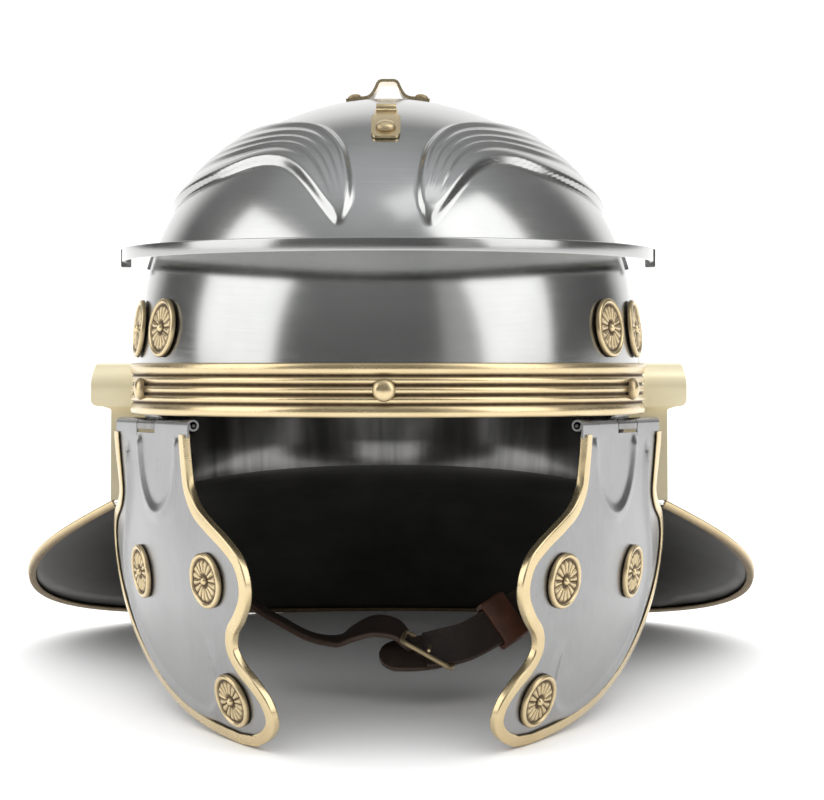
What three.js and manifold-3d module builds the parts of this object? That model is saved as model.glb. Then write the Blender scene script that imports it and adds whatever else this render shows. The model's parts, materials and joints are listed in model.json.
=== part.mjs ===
// Roman legionary helmet: a steel bowl with a neck guard, a brass brow band, ear guards,
// rosettes and crest fittings, two hinged cheek pieces and a buckled leather chin strap.
// Millimetres. The helmet is drawn in its own wearing frame: X to the side, Y to the back,
// Z up, with the origin at the centre of the brow band's lower edge. At the end it is tipped
// onto the points that it stands on. "left" is the -X side, "right" the +X side.
import * as THREE from 'three';
import { mergeVertices } from 'three/addons/utils/BufferGeometryUtils.js';
import Module from 'manifold-3d';

const wasm = await Module();
wasm.setup();

// Driving dimensions: bowl and neck guard
const bowlHalfWidth = 102.3;
const bowlHalfDepth = 118.3;
const bowlHeight = 128;
const bowlFullness = 2.935;
const bowlShoulder = 0.536;
const bowlSteel = 1.2;
const earAngle = 106;
const creaseDrop = 28;
const earEdgeDrop = 38;
const guardHalfWidth = 160;
const guardLength = 90;
const guardShoulderY = 112;
const guardCorner = 17;
const guardCornerSet = 3.4;
const shoulderAngle = 128;
const guardSideDrop = 75;
const guardBackDrop = 95.3;
const guardEdgingWidth = 3.2;

// Driving dimensions: embossed eyebrows
const eyebrowHeight = 2.3;
const eyebrowWidth = 5.4;
const eyebrowRidges = 5;

// Driving dimensions: brow bar and brow band
const barProjection = 15.5;
const barSideProjection = 13;
const barPlate = 1.5;
const barLip = 5.2;
const barTop = 66.5;
const barEndAngle = 92;
const bandHeight = 20.4;
const bandSheet = 0.8;
const bandRib = 1.2;
const bandRivetRadius = 4.35;

// Driving dimensions: rosettes and small rivets
const bowlRosetteRadius = 11.5;
const cheekRosetteRadius = 10.75;
const rosetteHeight = 3.3;
const smallRivetRadius = 2.9;

// Driving dimensions: ear guards
const earGuardY = 29;
const earGuardZ = 9.8;
const earArchRadius = 9.6;
const earFlange = 14.4;
const earHoodReach = 123.5;
const earFootReach = 117;
const earHoodRound = 3;
const earHoodBottom = 2.4;
const earFootY = 35.5;
const brassSheet = 1.1;

// Driving dimensions: crest fittings
const crestBridgeLength = 20;
const crestBridgeY = 5;
const crestBridgeHalfSpan = 17;
const crestBridgeTop = 7.9;
const crestBridgeTopHalf = 3.4;
const crestBridgeFootHalf = 6;
const crestBridgeSheet = 1.2;
const crestRivetX = 13.7;
const crestRivetRadius = 2.85;
const hookWidth = 11.2;
const hookLength = 25;
const hookLift = 2.8;
const hookBelowCrown = 9.5;
const hookRivetRadius = 3.9;
const hookRivetShare = 0.76;

// Driving dimensions: cheek pieces and their hinges
const hingeFrontX = 73.2;
const hingeFrontY = -85;
const hingeBackX = 107.8;
const hingeBackY = -8.5;
const hingeDrop = 3.7;
const knuckleRadius = 2.5;
const pinRadius = 1;
const pinClearance = 0.3;
const leafKnuckleFrom = 0.455;
const leafKnuckleTo = 0.695;
const knuckleGap = 0.6;
const leafRise = 12;
const leafSheet = 1;
const leafClearance = 0.75;
const cheekDrop = 121;
const cheekSteel = 1.2;
const cheekCup = 0.0018;
const cheekInward = 0.0022;
const cheekEdgingWidth = 3.6;
const cheekRidgeHeight = 1.1;
const cheekRidgeWidth = 2.6;
const edgingSheet = 0.8;

// Driving dimensions: chin strap
const strapWidth = 15;
const strapLeather = 2.2;
const strapAnchorX = 96;
const strapAnchorY = 31;
const strapDrop = 100;
const buckleClearance = 3.9;
const buckleWidth = 21;
const buckleWire = 2.4;
const keeperLength = 11;
const keeperWall = 1.8;
const keeperShare = 0.786;

// Clearance between neighbouring pieces
const seat = 0.3;

// Materials
const steel = new THREE.MeshStandardMaterial({ color: 0x8b8e92, roughness: 0.32, metalness: 1 });
const paleSteel = new THREE.MeshStandardMaterial({ color: 0xa9abad, roughness: 0.42, metalness: 1 });
const brass = new THREE.MeshStandardMaterial({ color: 0xb89a62, roughness: 0.35, metalness: 1 });
const leather = new THREE.MeshStandardMaterial({ color: 0x2e211a, roughness: 0.6, metalness: 0 });
const redLeather = new THREE.MeshStandardMaterial({ color: 0x5a2f1f, roughness: 0.6, metalness: 0 });

const helmet = new THREE.Group();
const radians = THREE.MathUtils.degToRad;
const vector = (x, y, z) => new THREE.Vector3(x, y, z);

// Closed body from corner points and faces, wound so that its volume is positive
function body(points, faces) {
  const index = [];
  for (const face of faces) {
    for (let k = 2; k < face.length; k += 1) index.push(face[0], face[k - 1], face[k]);
  }
  let volume = 0;
  for (let k = 0; k < index.length; k += 3) {
    const [a, b, c] = [points[index[k]], points[index[k + 1]], points[index[k + 2]]];
    volume += a.dot(vector(0, 0, 0).crossVectors(b, c));
  }
  if (volume < 0) {
    for (let k = 0; k < index.length; k += 3) [index[k], index[k + 1]] = [index[k + 1], index[k]];
  }
  const geometry = new THREE.BufferGeometry().setFromPoints(points);
  geometry.setIndex(index);
  return geometry;
}

// Sheet of even thickness behind an outer surface given as points and faces
function sheet(points, faces, thickness) {
  const normals = points.map(() => vector(0, 0, 0));
  for (const face of faces) {
    const [a, b, c] = [points[face[0]], points[face[1]], points[face[2]]];
    const normal = vector(0, 0, 0).crossVectors(vector().subVectors(b, a), vector().subVectors(c, a));
    if (face.length === 4) {
      const d = points[face[3]];
      normal.add(vector().crossVectors(vector().subVectors(c, a), vector().subVectors(d, a)));
    }
    normal.normalize();
    for (const corner of face) normals[corner].add(normal);
  }
  const count = points.length;
  const inner = points.map((p, k) => p.clone().addScaledVector(normals[k].normalize(), -thickness));
  const edges = new Map();
  for (const face of faces) {
    face.forEach((a, k) => {
      const b = face[(k + 1) % face.length];
      if (edges.has(`${b}_${a}`)) edges.delete(`${b}_${a}`);
      else edges.set(`${a}_${b}`, [a, b]);
    });
  }
  const walls = [...edges.values()].map(([a, b]) => [b, a, a + count, b + count]);
  const backs = faces.map((face) => [...face].reverse().map((corner) => corner + count));
  return body([...points, ...inner], [...faces, ...backs, ...walls]);
}

// Faces of a grid of points, rows by columns, without empty quads
function gridFaces(rows, columns) {
  const faces = [];
  for (let i = 0; i + 1 < rows; i += 1) {
    for (let j = 0; j + 1 < columns; j += 1) {
      const a = i * columns + j;
      faces.push([a, a + 1, a + columns + 1, a + columns]);
    }
  }
  return faces;
}

// Sheet over a grid of rows; its back lies on the side that "away" points from
function gridSheet(rows, thickness, away) {
  const points = rows.flat();
  let faces = gridFaces(rows.length, rows[0].length);
  const [a, b, , d] = faces[Math.floor(faces.length / 2)].map((corner) => points[corner]);
  const normal = vector().crossVectors(vector().subVectors(b, a), vector().subVectors(d, a));
  if (normal.dot(away) < 0) faces = faces.map((face) => [...face].reverse());
  return sheet(points, faces, thickness);
}

// Bar of a closed section along a route. A station has a point and two directions.
function sweep(stations, section, size = () => 1) {
  const rings = stations.map((station, k) => section.map(([a, b]) => station.at.clone()
    .addScaledVector(station.across, a * size(k))
    .addScaledVector(station.up, b * size(k))));
  const sides = section.length;
  const faces = [];
  for (let k = 0; k + 1 < rings.length; k += 1) {
    for (let s = 0; s < sides; s += 1) {
      const next = (s + 1) % sides;
      faces.push([k * sides + s, k * sides + next, (k + 1) * sides + next, (k + 1) * sides + s]);
    }
  }
  const outline = section.map(([a, b]) => new THREE.Vector2(a, b));
  const last = (rings.length - 1) * sides;
  for (const [a, b, c] of THREE.ShapeUtils.triangulateShape(outline, [])) {
    const turn = THREE.ShapeUtils.area(outline) > 0;
    faces.push(turn ? [c, b, a] : [a, b, c]);
    faces.push(turn ? [last + a, last + b, last + c] : [last + c, last + b, last + a]);
  }
  return body(rings.flat(), faces);
}

// Joins closed bodies into one
function joined(...geometries) {
  let whole = null;
  for (const geometry of geometries) {
    const bare = geometry.clone();
    bare.deleteAttribute('normal');
    bare.deleteAttribute('uv');
    const merged = mergeVertices(bare, 1e-4);
    const solid = new wasm.Manifold(new wasm.Mesh({
      numProp: 3,
      vertProperties: new Float32Array(merged.attributes.position.array),
      triVerts: new Uint32Array(merged.index.array),
    }));
    whole = whole ? whole.add(solid) : solid;
  }
  const outside = whole.decompose().filter((piece) => piece.volume() > 0);
  const mesh = outside.reduce((sum, piece) => sum.add(piece)).getMesh();
  const geometry = new THREE.BufferGeometry();
  geometry.setAttribute('position', new THREE.BufferAttribute(mesh.vertProperties, 3));
  geometry.setIndex(new THREE.BufferAttribute(mesh.triVerts, 1));
  return geometry;
}

function mirrored(geometry) {
  const copy = geometry.clone().applyMatrix4(new THREE.Matrix4().makeScale(-1, 1, 1));
  const index = copy.index.array.slice();
  for (let k = 0; k < index.length; k += 3) [index[k], index[k + 1]] = [index[k + 1], index[k]];
  copy.setIndex(new THREE.BufferAttribute(index, 1));
  return copy;
}

function add(name, geometry, material) {
  const mesh = new THREE.Mesh(geometry, material);
  mesh.name = name;
  helmet.add(mesh);
  return mesh;
}

function addPair(name, geometry, material, suffix = '') {
  add(`${name}_right${suffix}`, geometry, material);
  add(`${name}_left${suffix}`, mirrored(geometry), material);
}

// Bowl: every level is the same oval, drawn in towards the crown
function levelShare(z) {
  if (z <= 0) return 1;
  return (1 - Math.min(1, z / bowlHeight) ** bowlFullness) ** bowlShoulder;
}

function bowlPoint(angle, z, lift = 0) {
  const share = levelShare(z);
  const point = vector(
    bowlHalfWidth * share * Math.sin(radians(angle)),
    -bowlHalfDepth * share * Math.cos(radians(angle)),
    z,
  );
  return point.addScaledVector(bowlNormal(point), lift);
}

function bowlNormal(point) {
  const height = THREE.MathUtils.clamp(point.z / bowlHeight, 0, 0.9999);
  const rest = 1 - height ** bowlFullness;
  const slope = (bowlShoulder * bowlFullness / bowlHeight)
    * height ** (bowlFullness - 1) * rest ** (2 * bowlShoulder - 1);
  return vector(point.x / bowlHalfWidth ** 2, point.y / bowlHalfDepth ** 2, slope).normalize();
}

// Neck guard: the back of the bowl runs on down to a crease and flares out to a broad rim
function creaseHeight(angle) {
  const side = Math.abs(180 - angle) / (180 - earAngle);
  return -creaseDrop - (earEdgeDrop - creaseDrop) * side ** 2;
}

function guardRim(angle) {
  const side = angle > 180 ? -1 : 1;
  const turn = 180 - Math.abs(180 - angle);
  const startX = bowlPoint(earAngle, 0).x + guardCorner;
  const startY = bowlPoint(earAngle, 0).y + guardCornerSet;
  if (turn < shoulderAngle) {
    const share = (turn - earAngle) / (shoulderAngle - earAngle);
    return vector(
      side * (startX + (guardHalfWidth - startX) * Math.sin(share * Math.PI / 2)),
      startY + (guardShoulderY - startY) * share,
      -earEdgeDrop - (guardSideDrop - earEdgeDrop) * share,
    );
  }
  const share = (turn - shoulderAngle) / (180 - shoulderAngle);
  const back = Math.sin(share * Math.PI / 2);
  const reach = bowlHalfDepth + guardLength - guardShoulderY;
  return vector(
    side * guardHalfWidth * Math.cos(share * Math.PI / 2),
    guardShoulderY + reach * back,
    -guardBackDrop + (guardBackDrop - guardSideDrop) * (1 - back) ** 2,
  );
}

const frontColumns = 22;
const backColumns = 16;
const columnAngles = [];
for (let k = 0; k < frontColumns; k += 1) columnAngles.push(-earAngle + (2 * earAngle * k) / frontColumns);
for (let k = 0; k < backColumns; k += 1) {
  columnAngles.push(earAngle + ((360 - 2 * earAngle) * k) / backColumns);
}

function skullShell() {
  const columns = columnAngles.length;
  const rowShares = [0, 0.17, 0.33, 0.47, 0.6, 0.72, 0.83, 0.92, 0.975];
  const domeRows = rowShares.length;
  const points = [];
  for (const share of rowShares) {
    for (const angle of columnAngles) points.push(bowlPoint(angle, bowlHeight * share));
  }
  const faces = [];
  for (let row = 0; row < domeRows; row += 1) {
    for (let k = 0; k < columns; k += 1) {
      const next = (k + 1) % columns;
      const a = row * columns;
      if (row + 1 < domeRows) faces.push([a + k, a + next, a + columns + next, a + columns + k]);
      else faces.push([a + k, a + next, domeRows * columns]);
    }
  }
  points.push(vector(0, 0, bowlHeight));
  const napeRows = [];
  const fallShares = [0.5, 1];
  const flareShares = [0.25, 0.5, 0.75, 1];
  for (const share of fallShares) {
    napeRows.push((angle) => bowlPoint(angle, creaseHeight(angle) * share));
  }
  for (const share of flareShares) {
    napeRows.push((angle) => bowlPoint(angle, creaseHeight(angle)).lerp(guardRim(angle), share));
  }
  let above = Array.from({ length: backColumns + 1 }, (_, k) => (frontColumns + k) % columns);
  for (const row of napeRows) {
    const start = points.length;
    const level = above.map((_, k) => start + k);
    for (let k = 0; k <= backColumns; k += 1) {
      points.push(row(earAngle + ((360 - 2 * earAngle) * k) / backColumns));
    }
    for (let k = 0; k < backColumns; k += 1) {
      faces.push([level[k], level[k + 1], above[k + 1], above[k]]);
    }
    above = level;
  }
  return sheet(points, faces, bowlSteel);
}

// Eyebrows: nested ridges between a lowest and a highest line. Angles are in degrees from
// the front, heights are shares of the bowl's height.
const eyebrowLines = [
  { lowAngle: 11.7, low: 0.559, highAngle: 11.2, high: 0.562 },
  { lowAngle: 16, low: 0.625, highAngle: 8.8, high: 0.648 },
  { lowAngle: 21, low: 0.688, highAngle: 10.2, high: 0.745 },
  { lowAngle: 27, low: 0.734, highAngle: 14.5, high: 0.817 },
  { lowAngle: 34, low: 0.758, highAngle: 24.3, high: 0.87 },
  { lowAngle: 43, low: 0.758, highAngle: 38.8, high: 0.891 },
  { lowAngle: 56, low: 0.723, highAngle: 61, high: 0.891 },
  { lowAngle: 72, low: 0.684, highAngle: 86, high: 0.867 },
  { lowAngle: 89, low: 0.641, highAngle: 104, high: 0.809 },
  { lowAngle: 106, low: 0.598, highAngle: 119, high: 0.742 },
  { lowAngle: 122, low: 0.57, highAngle: 132, high: 0.691 },
  { lowAngle: 136, low: 0.602, highAngle: 142, high: 0.711 },
];

function eyebrowRidge(share) {
  const { lerp } = THREE.MathUtils;
  const line = new THREE.CatmullRomCurve3(eyebrowLines.map((row) => vector(
    lerp(row.lowAngle, row.highAngle, share),
    lerp(row.low, row.high, share) * bowlHeight,
    0,
  )));
  const steps = 12;
  const on = (k) => {
    const place = line.getPoint(THREE.MathUtils.clamp(k / steps, 0, 1));
    return bowlPoint(place.x, place.y);
  };
  const stations = [];
  for (let k = 0; k <= steps; k += 1) {
    const along = vector().subVectors(on(k + 0.3), on(k - 0.3)).normalize();
    const up = bowlNormal(on(k));
    stations.push({ at: on(k), up, across: vector().crossVectors(along, up).normalize() });
  }
  const half = (share === 0 ? 0.5 : 0.4) * eyebrowWidth;
  const buried = -0.6;
  const section = [[-half, buried], [half, buried], [0, eyebrowHeight]];
  return sweep(stations, section, (k) => (k === 0 || k === steps ? 0.45 : 1));
}

const ridges = [];
for (let k = 0; k < eyebrowRidges; k += 1) {
  const ridge = eyebrowRidge(k / (eyebrowRidges - 1));
  ridges.push(ridge, mirrored(ridge));
}
add('skull', joined(skullShell(), ...ridges), steel);

// Edging: a folded strip of brass over a sheet's edge. Stations lie on the edge, with
// "across" pointing off the edge and "up" out of the sheet.
function edgingSection(width, thickness, lift) {
  const reach = seat + edgingSheet;
  const top = lift + edgingSheet;
  return [[-width, lift], [-width, top], [reach, top], [reach, -thickness], [seat, -thickness], [seat, lift]];
}

const guardStations = [];
for (let k = 0; k <= backColumns; k += 1) {
  const angle = earAngle + ((360 - 2 * earAngle) * k) / backColumns;
  const at = guardRim(angle);
  const step = 0.5;
  const before = guardRim(Math.max(earAngle, angle - step));
  const after = guardRim(Math.min(360 - earAngle, angle + step));
  const along = vector().subVectors(after, before).normalize();
  const outward = vector().subVectors(at, bowlPoint(angle, creaseHeight(angle)));
  const up = vector().crossVectors(outward, along).normalize();
  if (up.z < 0) up.negate();
  const across = vector().crossVectors(along, up).normalize();
  if (across.dot(outward) < 0) across.negate();
  guardStations.push({ at, up, across });
}
add('neck_guard_edging', sweep(guardStations, edgingSection(guardEdgingWidth, bowlSteel, 3.6 * seat)), brass);

// Rivets and rosettes are turned about Z and stood on a surface
function rivet(radius, height = radius * 0.62) {
  const profile = [[0, 0], [radius, 0], [radius * 0.93, height * 0.45], [radius * 0.5, height * 0.9], [0, height]];
  return turned(profile, 9);
}

function turned(profile, sides, wave = () => 0) {
  const points = [];
  const rings = profile.map(([radius, height], k) => {
    if (radius === 0) {
      points.push(vector(0, 0, height));
      return [points.length - 1];
    }
    return Array.from({ length: sides }, (_, s) => {
      const turn = (2 * Math.PI * s) / sides;
      points.push(vector(radius * Math.cos(turn), radius * Math.sin(turn), height + wave(k, s)));
      return points.length - 1;
    });
  });
  const faces = [];
  for (let k = 0; k + 1 < rings.length; k += 1) {
    for (let s = 0; s < sides; s += 1) {
      const next = (s + 1) % sides;
      const [low, high] = [rings[k], rings[k + 1]];
      if (low.length === 1) faces.push([low[0], high[next], high[s]]);
      else if (high.length === 1) faces.push([low[s], low[next], high[0]]);
      else faces.push([low[s], low[next], high[next], high[s]]);
    }
  }
  return body(points, faces);
}

function rosette(radius) {
  const profile = [
    [0, 0], [radius, 0], [0.94 * radius, 0.64 * rosetteHeight], [0.78 * radius, 0.34 * rosetteHeight],
    [0.36 * radius, 0.5 * rosetteHeight], [0.2 * radius, 0.88 * rosetteHeight], [0, rosetteHeight],
  ];
  const petal = 0.14 * rosetteHeight;
  return turned(profile, 10, (k, s) => (k === 3 || k === 4 ? (s % 2 ? petal : -petal) : 0));
}

function standOn(geometry, at, up) {
  const turn = new THREE.Quaternion().setFromUnitVectors(vector(0, 0, 1), up);
  return geometry.clone().applyQuaternion(turn).translate(at.x, at.y, at.z);
}

function onBowl(geometry, angle, z, lift) {
  const at = bowlPoint(angle, z);
  const up = bowlNormal(at);
  return standOn(geometry, at.addScaledVector(up, lift), up);
}

// Brow bar: a level shelf across the forehead with a lip folded down at its outer edge
function ovalPoint(angle, halfWidth, halfDepth, z) {
  return vector(halfWidth * Math.sin(radians(angle)), -halfDepth * Math.cos(radians(angle)), z);
}

const barSteps = 30;
const barInner = bowlPoint(90, barTop - barPlate).x + seat;
const barInnerDepth = -bowlPoint(0, barTop - barPlate).y + seat;
const barOuterDepth = bowlHalfDepth + barProjection;
const barOuter = barInner + barSideProjection;
const barRings = [];
for (let k = 0; k <= barSteps; k += 1) {
  const angle = -barEndAngle + (2 * barEndAngle * k) / barSteps;
  barRings.push({
    at: ovalPoint(angle, 0, 0, barTop),
    inner: ovalPoint(angle, barInner, barInnerDepth, 0),
    outer: ovalPoint(angle, barOuter, barOuterDepth, 0),
  });
}

function shelfBody() {
  const points = [];
  const profile = (ring) => {
    const lipInner = ring.outer.clone().addScaledVector(
      vector().subVectors(ring.inner, ring.outer).normalize(),
      barPlate,
    );
    return [[ring.inner, 0], [ring.outer, 0], [ring.outer, -barLip], [lipInner, -barLip],
      [lipInner, -barPlate], [ring.inner, -barPlate]];
  };
  for (const ring of barRings) {
    for (const [side, fall] of profile(ring)) points.push(vector(side.x, side.y, barTop + fall));
  }
  const sides = 6;
  const faces = [];
  for (let k = 0; k + 1 < barRings.length; k += 1) {
    for (let s = 0; s < sides; s += 1) {
      const next = (s + 1) % sides;
      faces.push([k * sides + s, k * sides + next, (k + 1) * sides + next, (k + 1) * sides + s]);
    }
  }
  const last = (barRings.length - 1) * sides;
  faces.push([0, 5, 4, 1], [1, 4, 3, 2]);
  faces.push([last, last + 1, last + 4, last + 5], [last + 1, last + 2, last + 3, last + 4]);
  return body(points, faces);
}

// Tab at each end of the bar: it lies on the bowl and takes one rivet
const barTabFrom = 88;
const barTabTo = 100;
const barTabDepth = 8;
function barTab() {
  const rows = [0, 0.5, 1].map((share) => [0, 0.5, 1].map((down) => bowlPoint(
    THREE.MathUtils.lerp(barTabFrom, barTabTo, share),
    barTop - 0.3 - barTabDepth * down,
    seat + bowlSteel,
  )));
  return gridSheet(rows, bowlSteel, vector(1, 0, 0));
}
const tab = barTab();
add('brow_bar', joined(shelfBody(), tab, mirrored(tab)), steel);
const barRivetAngle = 97.5;
addPair(
  'brow_bar_rivet',
  onBowl(rivet(smallRivetRadius), barRivetAngle, barTop - 0.5 * barTabDepth, 2 * seat + bowlSteel),
  steel,
);

// Brow band: pressed brass with a wide rib at top and bottom and three thin ones between
const ribShares = [0.206, 0.127, 0.127, 0.127, 0.206];
function bandSection() {
  const groove = (1 - ribShares.reduce((sum, share) => sum + share, 0)) / (ribShares.length - 1);
  const section = [[seat, bandHeight], [seat, 0]];
  let z = 0;
  ribShares.forEach((share, k) => {
    const top = seat + bandSheet + bandRib;
    section.push([top, bandHeight * (z + 0.12 * share)], [top, bandHeight * (z + 0.88 * share)]);
    z += share + groove;
    if (k + 1 < ribShares.length) section.push([seat + bandSheet, bandHeight * (z - groove / 2)]);
  });
  return section;
}

const bandEndY = earGuardY - earArchRadius - earFlange - 2 * seat;
const bandEndAngle = 90 + THREE.MathUtils.radToDeg(Math.asin(bandEndY / bowlHalfDepth)) - 0.2;
const bandSteps = 26;
const bandStations = [];
for (let k = 0; k <= bandSteps; k += 1) {
  const at = bowlPoint(-bandEndAngle + (2 * bandEndAngle * k) / bandSteps, 0);
  bandStations.push({ at, across: bowlNormal(at), up: vector(0, 0, 1) });
}
add('brow_band', sweep(bandStations, bandSection()), brass);
const bandFace = seat + bandSheet + bandRib;
const bandRivetAngle = 67;
add('band_rivet_front', onBand(rivet(bandRivetRadius), 0), brass);
addPair('band_rivet', onBand(rivet(bandRivetRadius), bandRivetAngle), brass);

function onBand(geometry, angle) {
  const at = bowlPoint(angle, 0);
  const up = bowlNormal(at);
  at.addScaledVector(up, bandFace + seat).setZ(bandHeight / 2);
  return standOn(geometry, at, up);
}

// Bowl rosettes: two over the band on each side
const bowlRosetteZ = 34;
addPair('bowl_rosette', onBowl(rosette(bowlRosetteRadius), 58.5, bowlRosetteZ, seat), brass, '_front');
addPair('bowl_rosette', onBowl(rosette(bowlRosetteRadius), 75, bowlRosetteZ, seat), brass, '_rear');

// Ear guards: a flange on the bowl and a hood that stands out over the ear and runs down
// behind it to the neck guard
function wallX(y, lift) {
  const share = y / (bowlHalfDepth + lift);
  return (bowlHalfWidth + lift) * Math.sqrt(1 - share * share);
}

function earPath(radius) {
  const path = [[earGuardY - radius, 0.8]];
  const turns = 7;
  for (let k = 0; k <= turns; k += 1) {
    const turn = Math.PI * (1 - k / turns);
    const tall = 1 + 0.22 * Math.sin(turn) * (radius > earArchRadius + 1 ? 1 : 0);
    path.push([earGuardY + radius * Math.cos(turn), earGuardZ + radius * tall * Math.sin(turn)]);
  }
  return path;
}

function earGuard() {
  const bottom = 0.8;
  const flangeLift = seat + brassSheet;
  const lean = (z) => bowlHalfWidth - bowlPoint(90, Math.max(0, z)).x;
  const ring = (radius) => [...earPath(radius), [earGuardY + radius, bottom]]
    .map(([y, z]) => vector(wallX(y, flangeLift) - lean(z), y, z));
  const inner = ring(earArchRadius - 0.4);
  const outer = ring(earArchRadius + earFlange);
  const flange = gridSheet([inner, outer], brassSheet, vector(1, 0, 0));
  const footZ = -earEdgeDrop + seat + 0.6;
  const [springY, backY] = [earGuardY - earArchRadius, earGuardY + earArchRadius];
  const route = [[springY, earHoodBottom], [springY, earHoodBottom + earHoodRound],
    ...earPath(earArchRadius).slice(1), [backY, earHoodBottom + earHoodRound], [backY, earHoodBottom],
    [THREE.MathUtils.lerp(backY, earFootY, 0.4), -8], [earFootY, footZ]];
  const hood = route.map(([y, z]) => {
    const arch = THREE.MathUtils.clamp((z - earGuardZ) / earArchRadius, 0, 1);
    const edge = z < earHoodBottom + 0.1 ? earHoodRound : 0.6 * earHoodRound * arch ** 2;
    const reach = y > earGuardY && z < earHoodBottom + 0.1 ? earFootReach : earHoodReach - edge;
    const start = wallX(y, seat) - lean(z) + (z > bottom ? 0.4 : 0.35);
    return [vector(start, y, z), vector(reach, y, z)];
  });
  return joined(flange, gridSheet(hood, brassSheet, vector(0, 0, 1)));
}
addPair('ear_guard', earGuard(), brass);

function earRivet(y, z) {
  const at = vector(wallX(y, 2 * seat + brassSheet), y, z);
  return standOn(rivet(smallRivetRadius), at, bowlNormal(at.clone().setZ(0)));
}
const earRivetOut = earArchRadius + 0.55 * earFlange;
addPair('ear_guard_rivet', earRivet(earGuardY - earRivetOut, earGuardZ - 1), brass, '_front');
addPair('ear_guard_rivet', earRivet(earGuardY + earRivetOut, earGuardZ - 1), brass, '_rear');

// Crest bridge: a bent strip on the crown with a slot for the crest holder
function crownZ(x, y) {
  const share = Math.hypot(x / bowlHalfWidth, y / bowlHalfDepth);
  return bowlHeight * (1 - share ** (1 / bowlShoulder)) ** (1 / bowlFullness);
}

function crestBridge() {
  const low = (x) => crownZ(x, crestBridgeY) + seat;
  const top = bowlHeight + crestBridgeTop;
  const t = crestBridgeSheet;
  const over = [
    [crestBridgeHalfSpan, low(crestBridgeHalfSpan) + t],
    [crestBridgeFootHalf + 3, low(crestBridgeFootHalf + 3) + t],
    [crestBridgeFootHalf, low(crestBridgeFootHalf) + t + 0.7],
    [crestBridgeTopHalf + 0.6, top - 1.1],
    [crestBridgeTopHalf, top],
  ];
  const under = [
    [crestBridgeTopHalf - 0.6, top - t],
    [crestBridgeFootHalf - 1.3, low(crestBridgeFootHalf) + 0.4],
    [crestBridgeFootHalf + 2.5, low(crestBridgeFootHalf)],
    [crestBridgeHalfSpan, low(crestBridgeHalfSpan)],
  ];
  const flip = ([x, z]) => [-x, z];
  const section = [...over, ...over.map(flip).reverse(),
    ...under.map(flip).reverse(), ...under];
  const ends = [-0.5, 0.5].map((share) => ({
    at: vector(0, crestBridgeY + share * crestBridgeLength, 0),
    across: vector(1, 0, 0),
    up: vector(0, 0, 1),
  }));
  return sweep(ends, section);
}
add('crest_bridge', crestBridge(), brass);
const crestRivetAt = vector(
  crestRivetX,
  crestBridgeY,
  crownZ(crestRivetX, crestBridgeY) + 2 * seat + crestBridgeSheet + 0.1,
);
addPair('crest_bridge_rivet', standOn(rivet(crestRivetRadius), crestRivetAt, bowlNormal(crestRivetAt)), brass);

// Crest hook: a riveted plate on the forehead whose upper end stands up as a hook
const hookTopZ = bowlHeight - hookBelowCrown;
function hookStation(share) {
  const y = bowlPoint(0, hookTopZ).y - share * hookLength * 0.95;
  const at = vector(0, y, crownZ(0, y));
  return at.addScaledVector(bowlNormal(at), seat);
}

function crestHook() {
  const rows = [0, 0.2, 0.4, 0.6, 0.8, 1].map((share) => {
    const at = hookStation(share);
    const half = (share === 1 ? 0.36 : 0.5) * hookWidth;
    const up = bowlNormal(at);
    return [-1, 0, 1].map((side) => at.clone().addScaledVector(up, crestBridgeSheet)
      .setX(side * half).add(vector(0, 0, side === 0 ? 0 : -0.12)));
  });
  const plate = gridSheet(rows, crestBridgeSheet, vector(0, -0.5, 1));
  const root = hookStation(0.03);
  const up = bowlNormal(root);
  const back = vector().crossVectors(vector(1, 0, 0), up);
  const stations = [0.3, hookLift].map((lift) => ({
    at: root.clone().addScaledVector(up, lift), across: vector(1, 0, 0), up: back,
  }));
  const half = 0.36 * hookWidth;
  const t = crestBridgeSheet / 2;
  return joined(plate, sweep(stations, [[-half, -t], [half, -t], [half, t], [-half, t]]));
}
add('crest_hook', crestHook(), brass);
const hookRivetAt = hookStation(hookRivetShare);
const hookRivetUp = bowlNormal(hookRivetAt);
hookRivetAt.addScaledVector(hookRivetUp, crestBridgeSheet + seat);
add('crest_hook_rivet', standOn(rivet(hookRivetRadius), hookRivetAt, hookRivetUp), brass);

// Cheek pieces are drawn on the right side in hinge terms: "along" runs back along the
// hinge from its front end, "down" runs down from the hinge
const hingeStart = vector(hingeFrontX, hingeFrontY, -hingeDrop);
const hingeEnd = vector(hingeBackX, hingeBackY, -hingeDrop);
const hingeLength = hingeStart.distanceTo(hingeEnd);
const hingeAlong = vector().subVectors(hingeEnd, hingeStart).normalize();
const hingeOut = vector(hingeAlong.y, -hingeAlong.x, 0);

function cheekPoint(along, down, lift = 0) {
  const middle = 0.5 * hingeLength;
  const cup = cheekCup * (along - middle) ** 2 * THREE.MathUtils.smoothstep(down, 0, 34);
  const inward = cheekInward * Math.max(0, down - 30) ** 2;
  return hingeStart.clone().addScaledVector(hingeAlong, along)
    .addScaledVector(hingeOut, knuckleRadius - 0.1 - cup - inward + lift)
    .add(vector(0, 0, -down));
}

function cheekNormal(along, down) {
  const step = 0.5;
  const a = vector().subVectors(cheekPoint(along + step, down), cheekPoint(along - step, down));
  const b = vector().subVectors(cheekPoint(along, down + step), cheekPoint(along, down - step));
  return vector().crossVectors(b, a).normalize();
}

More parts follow.
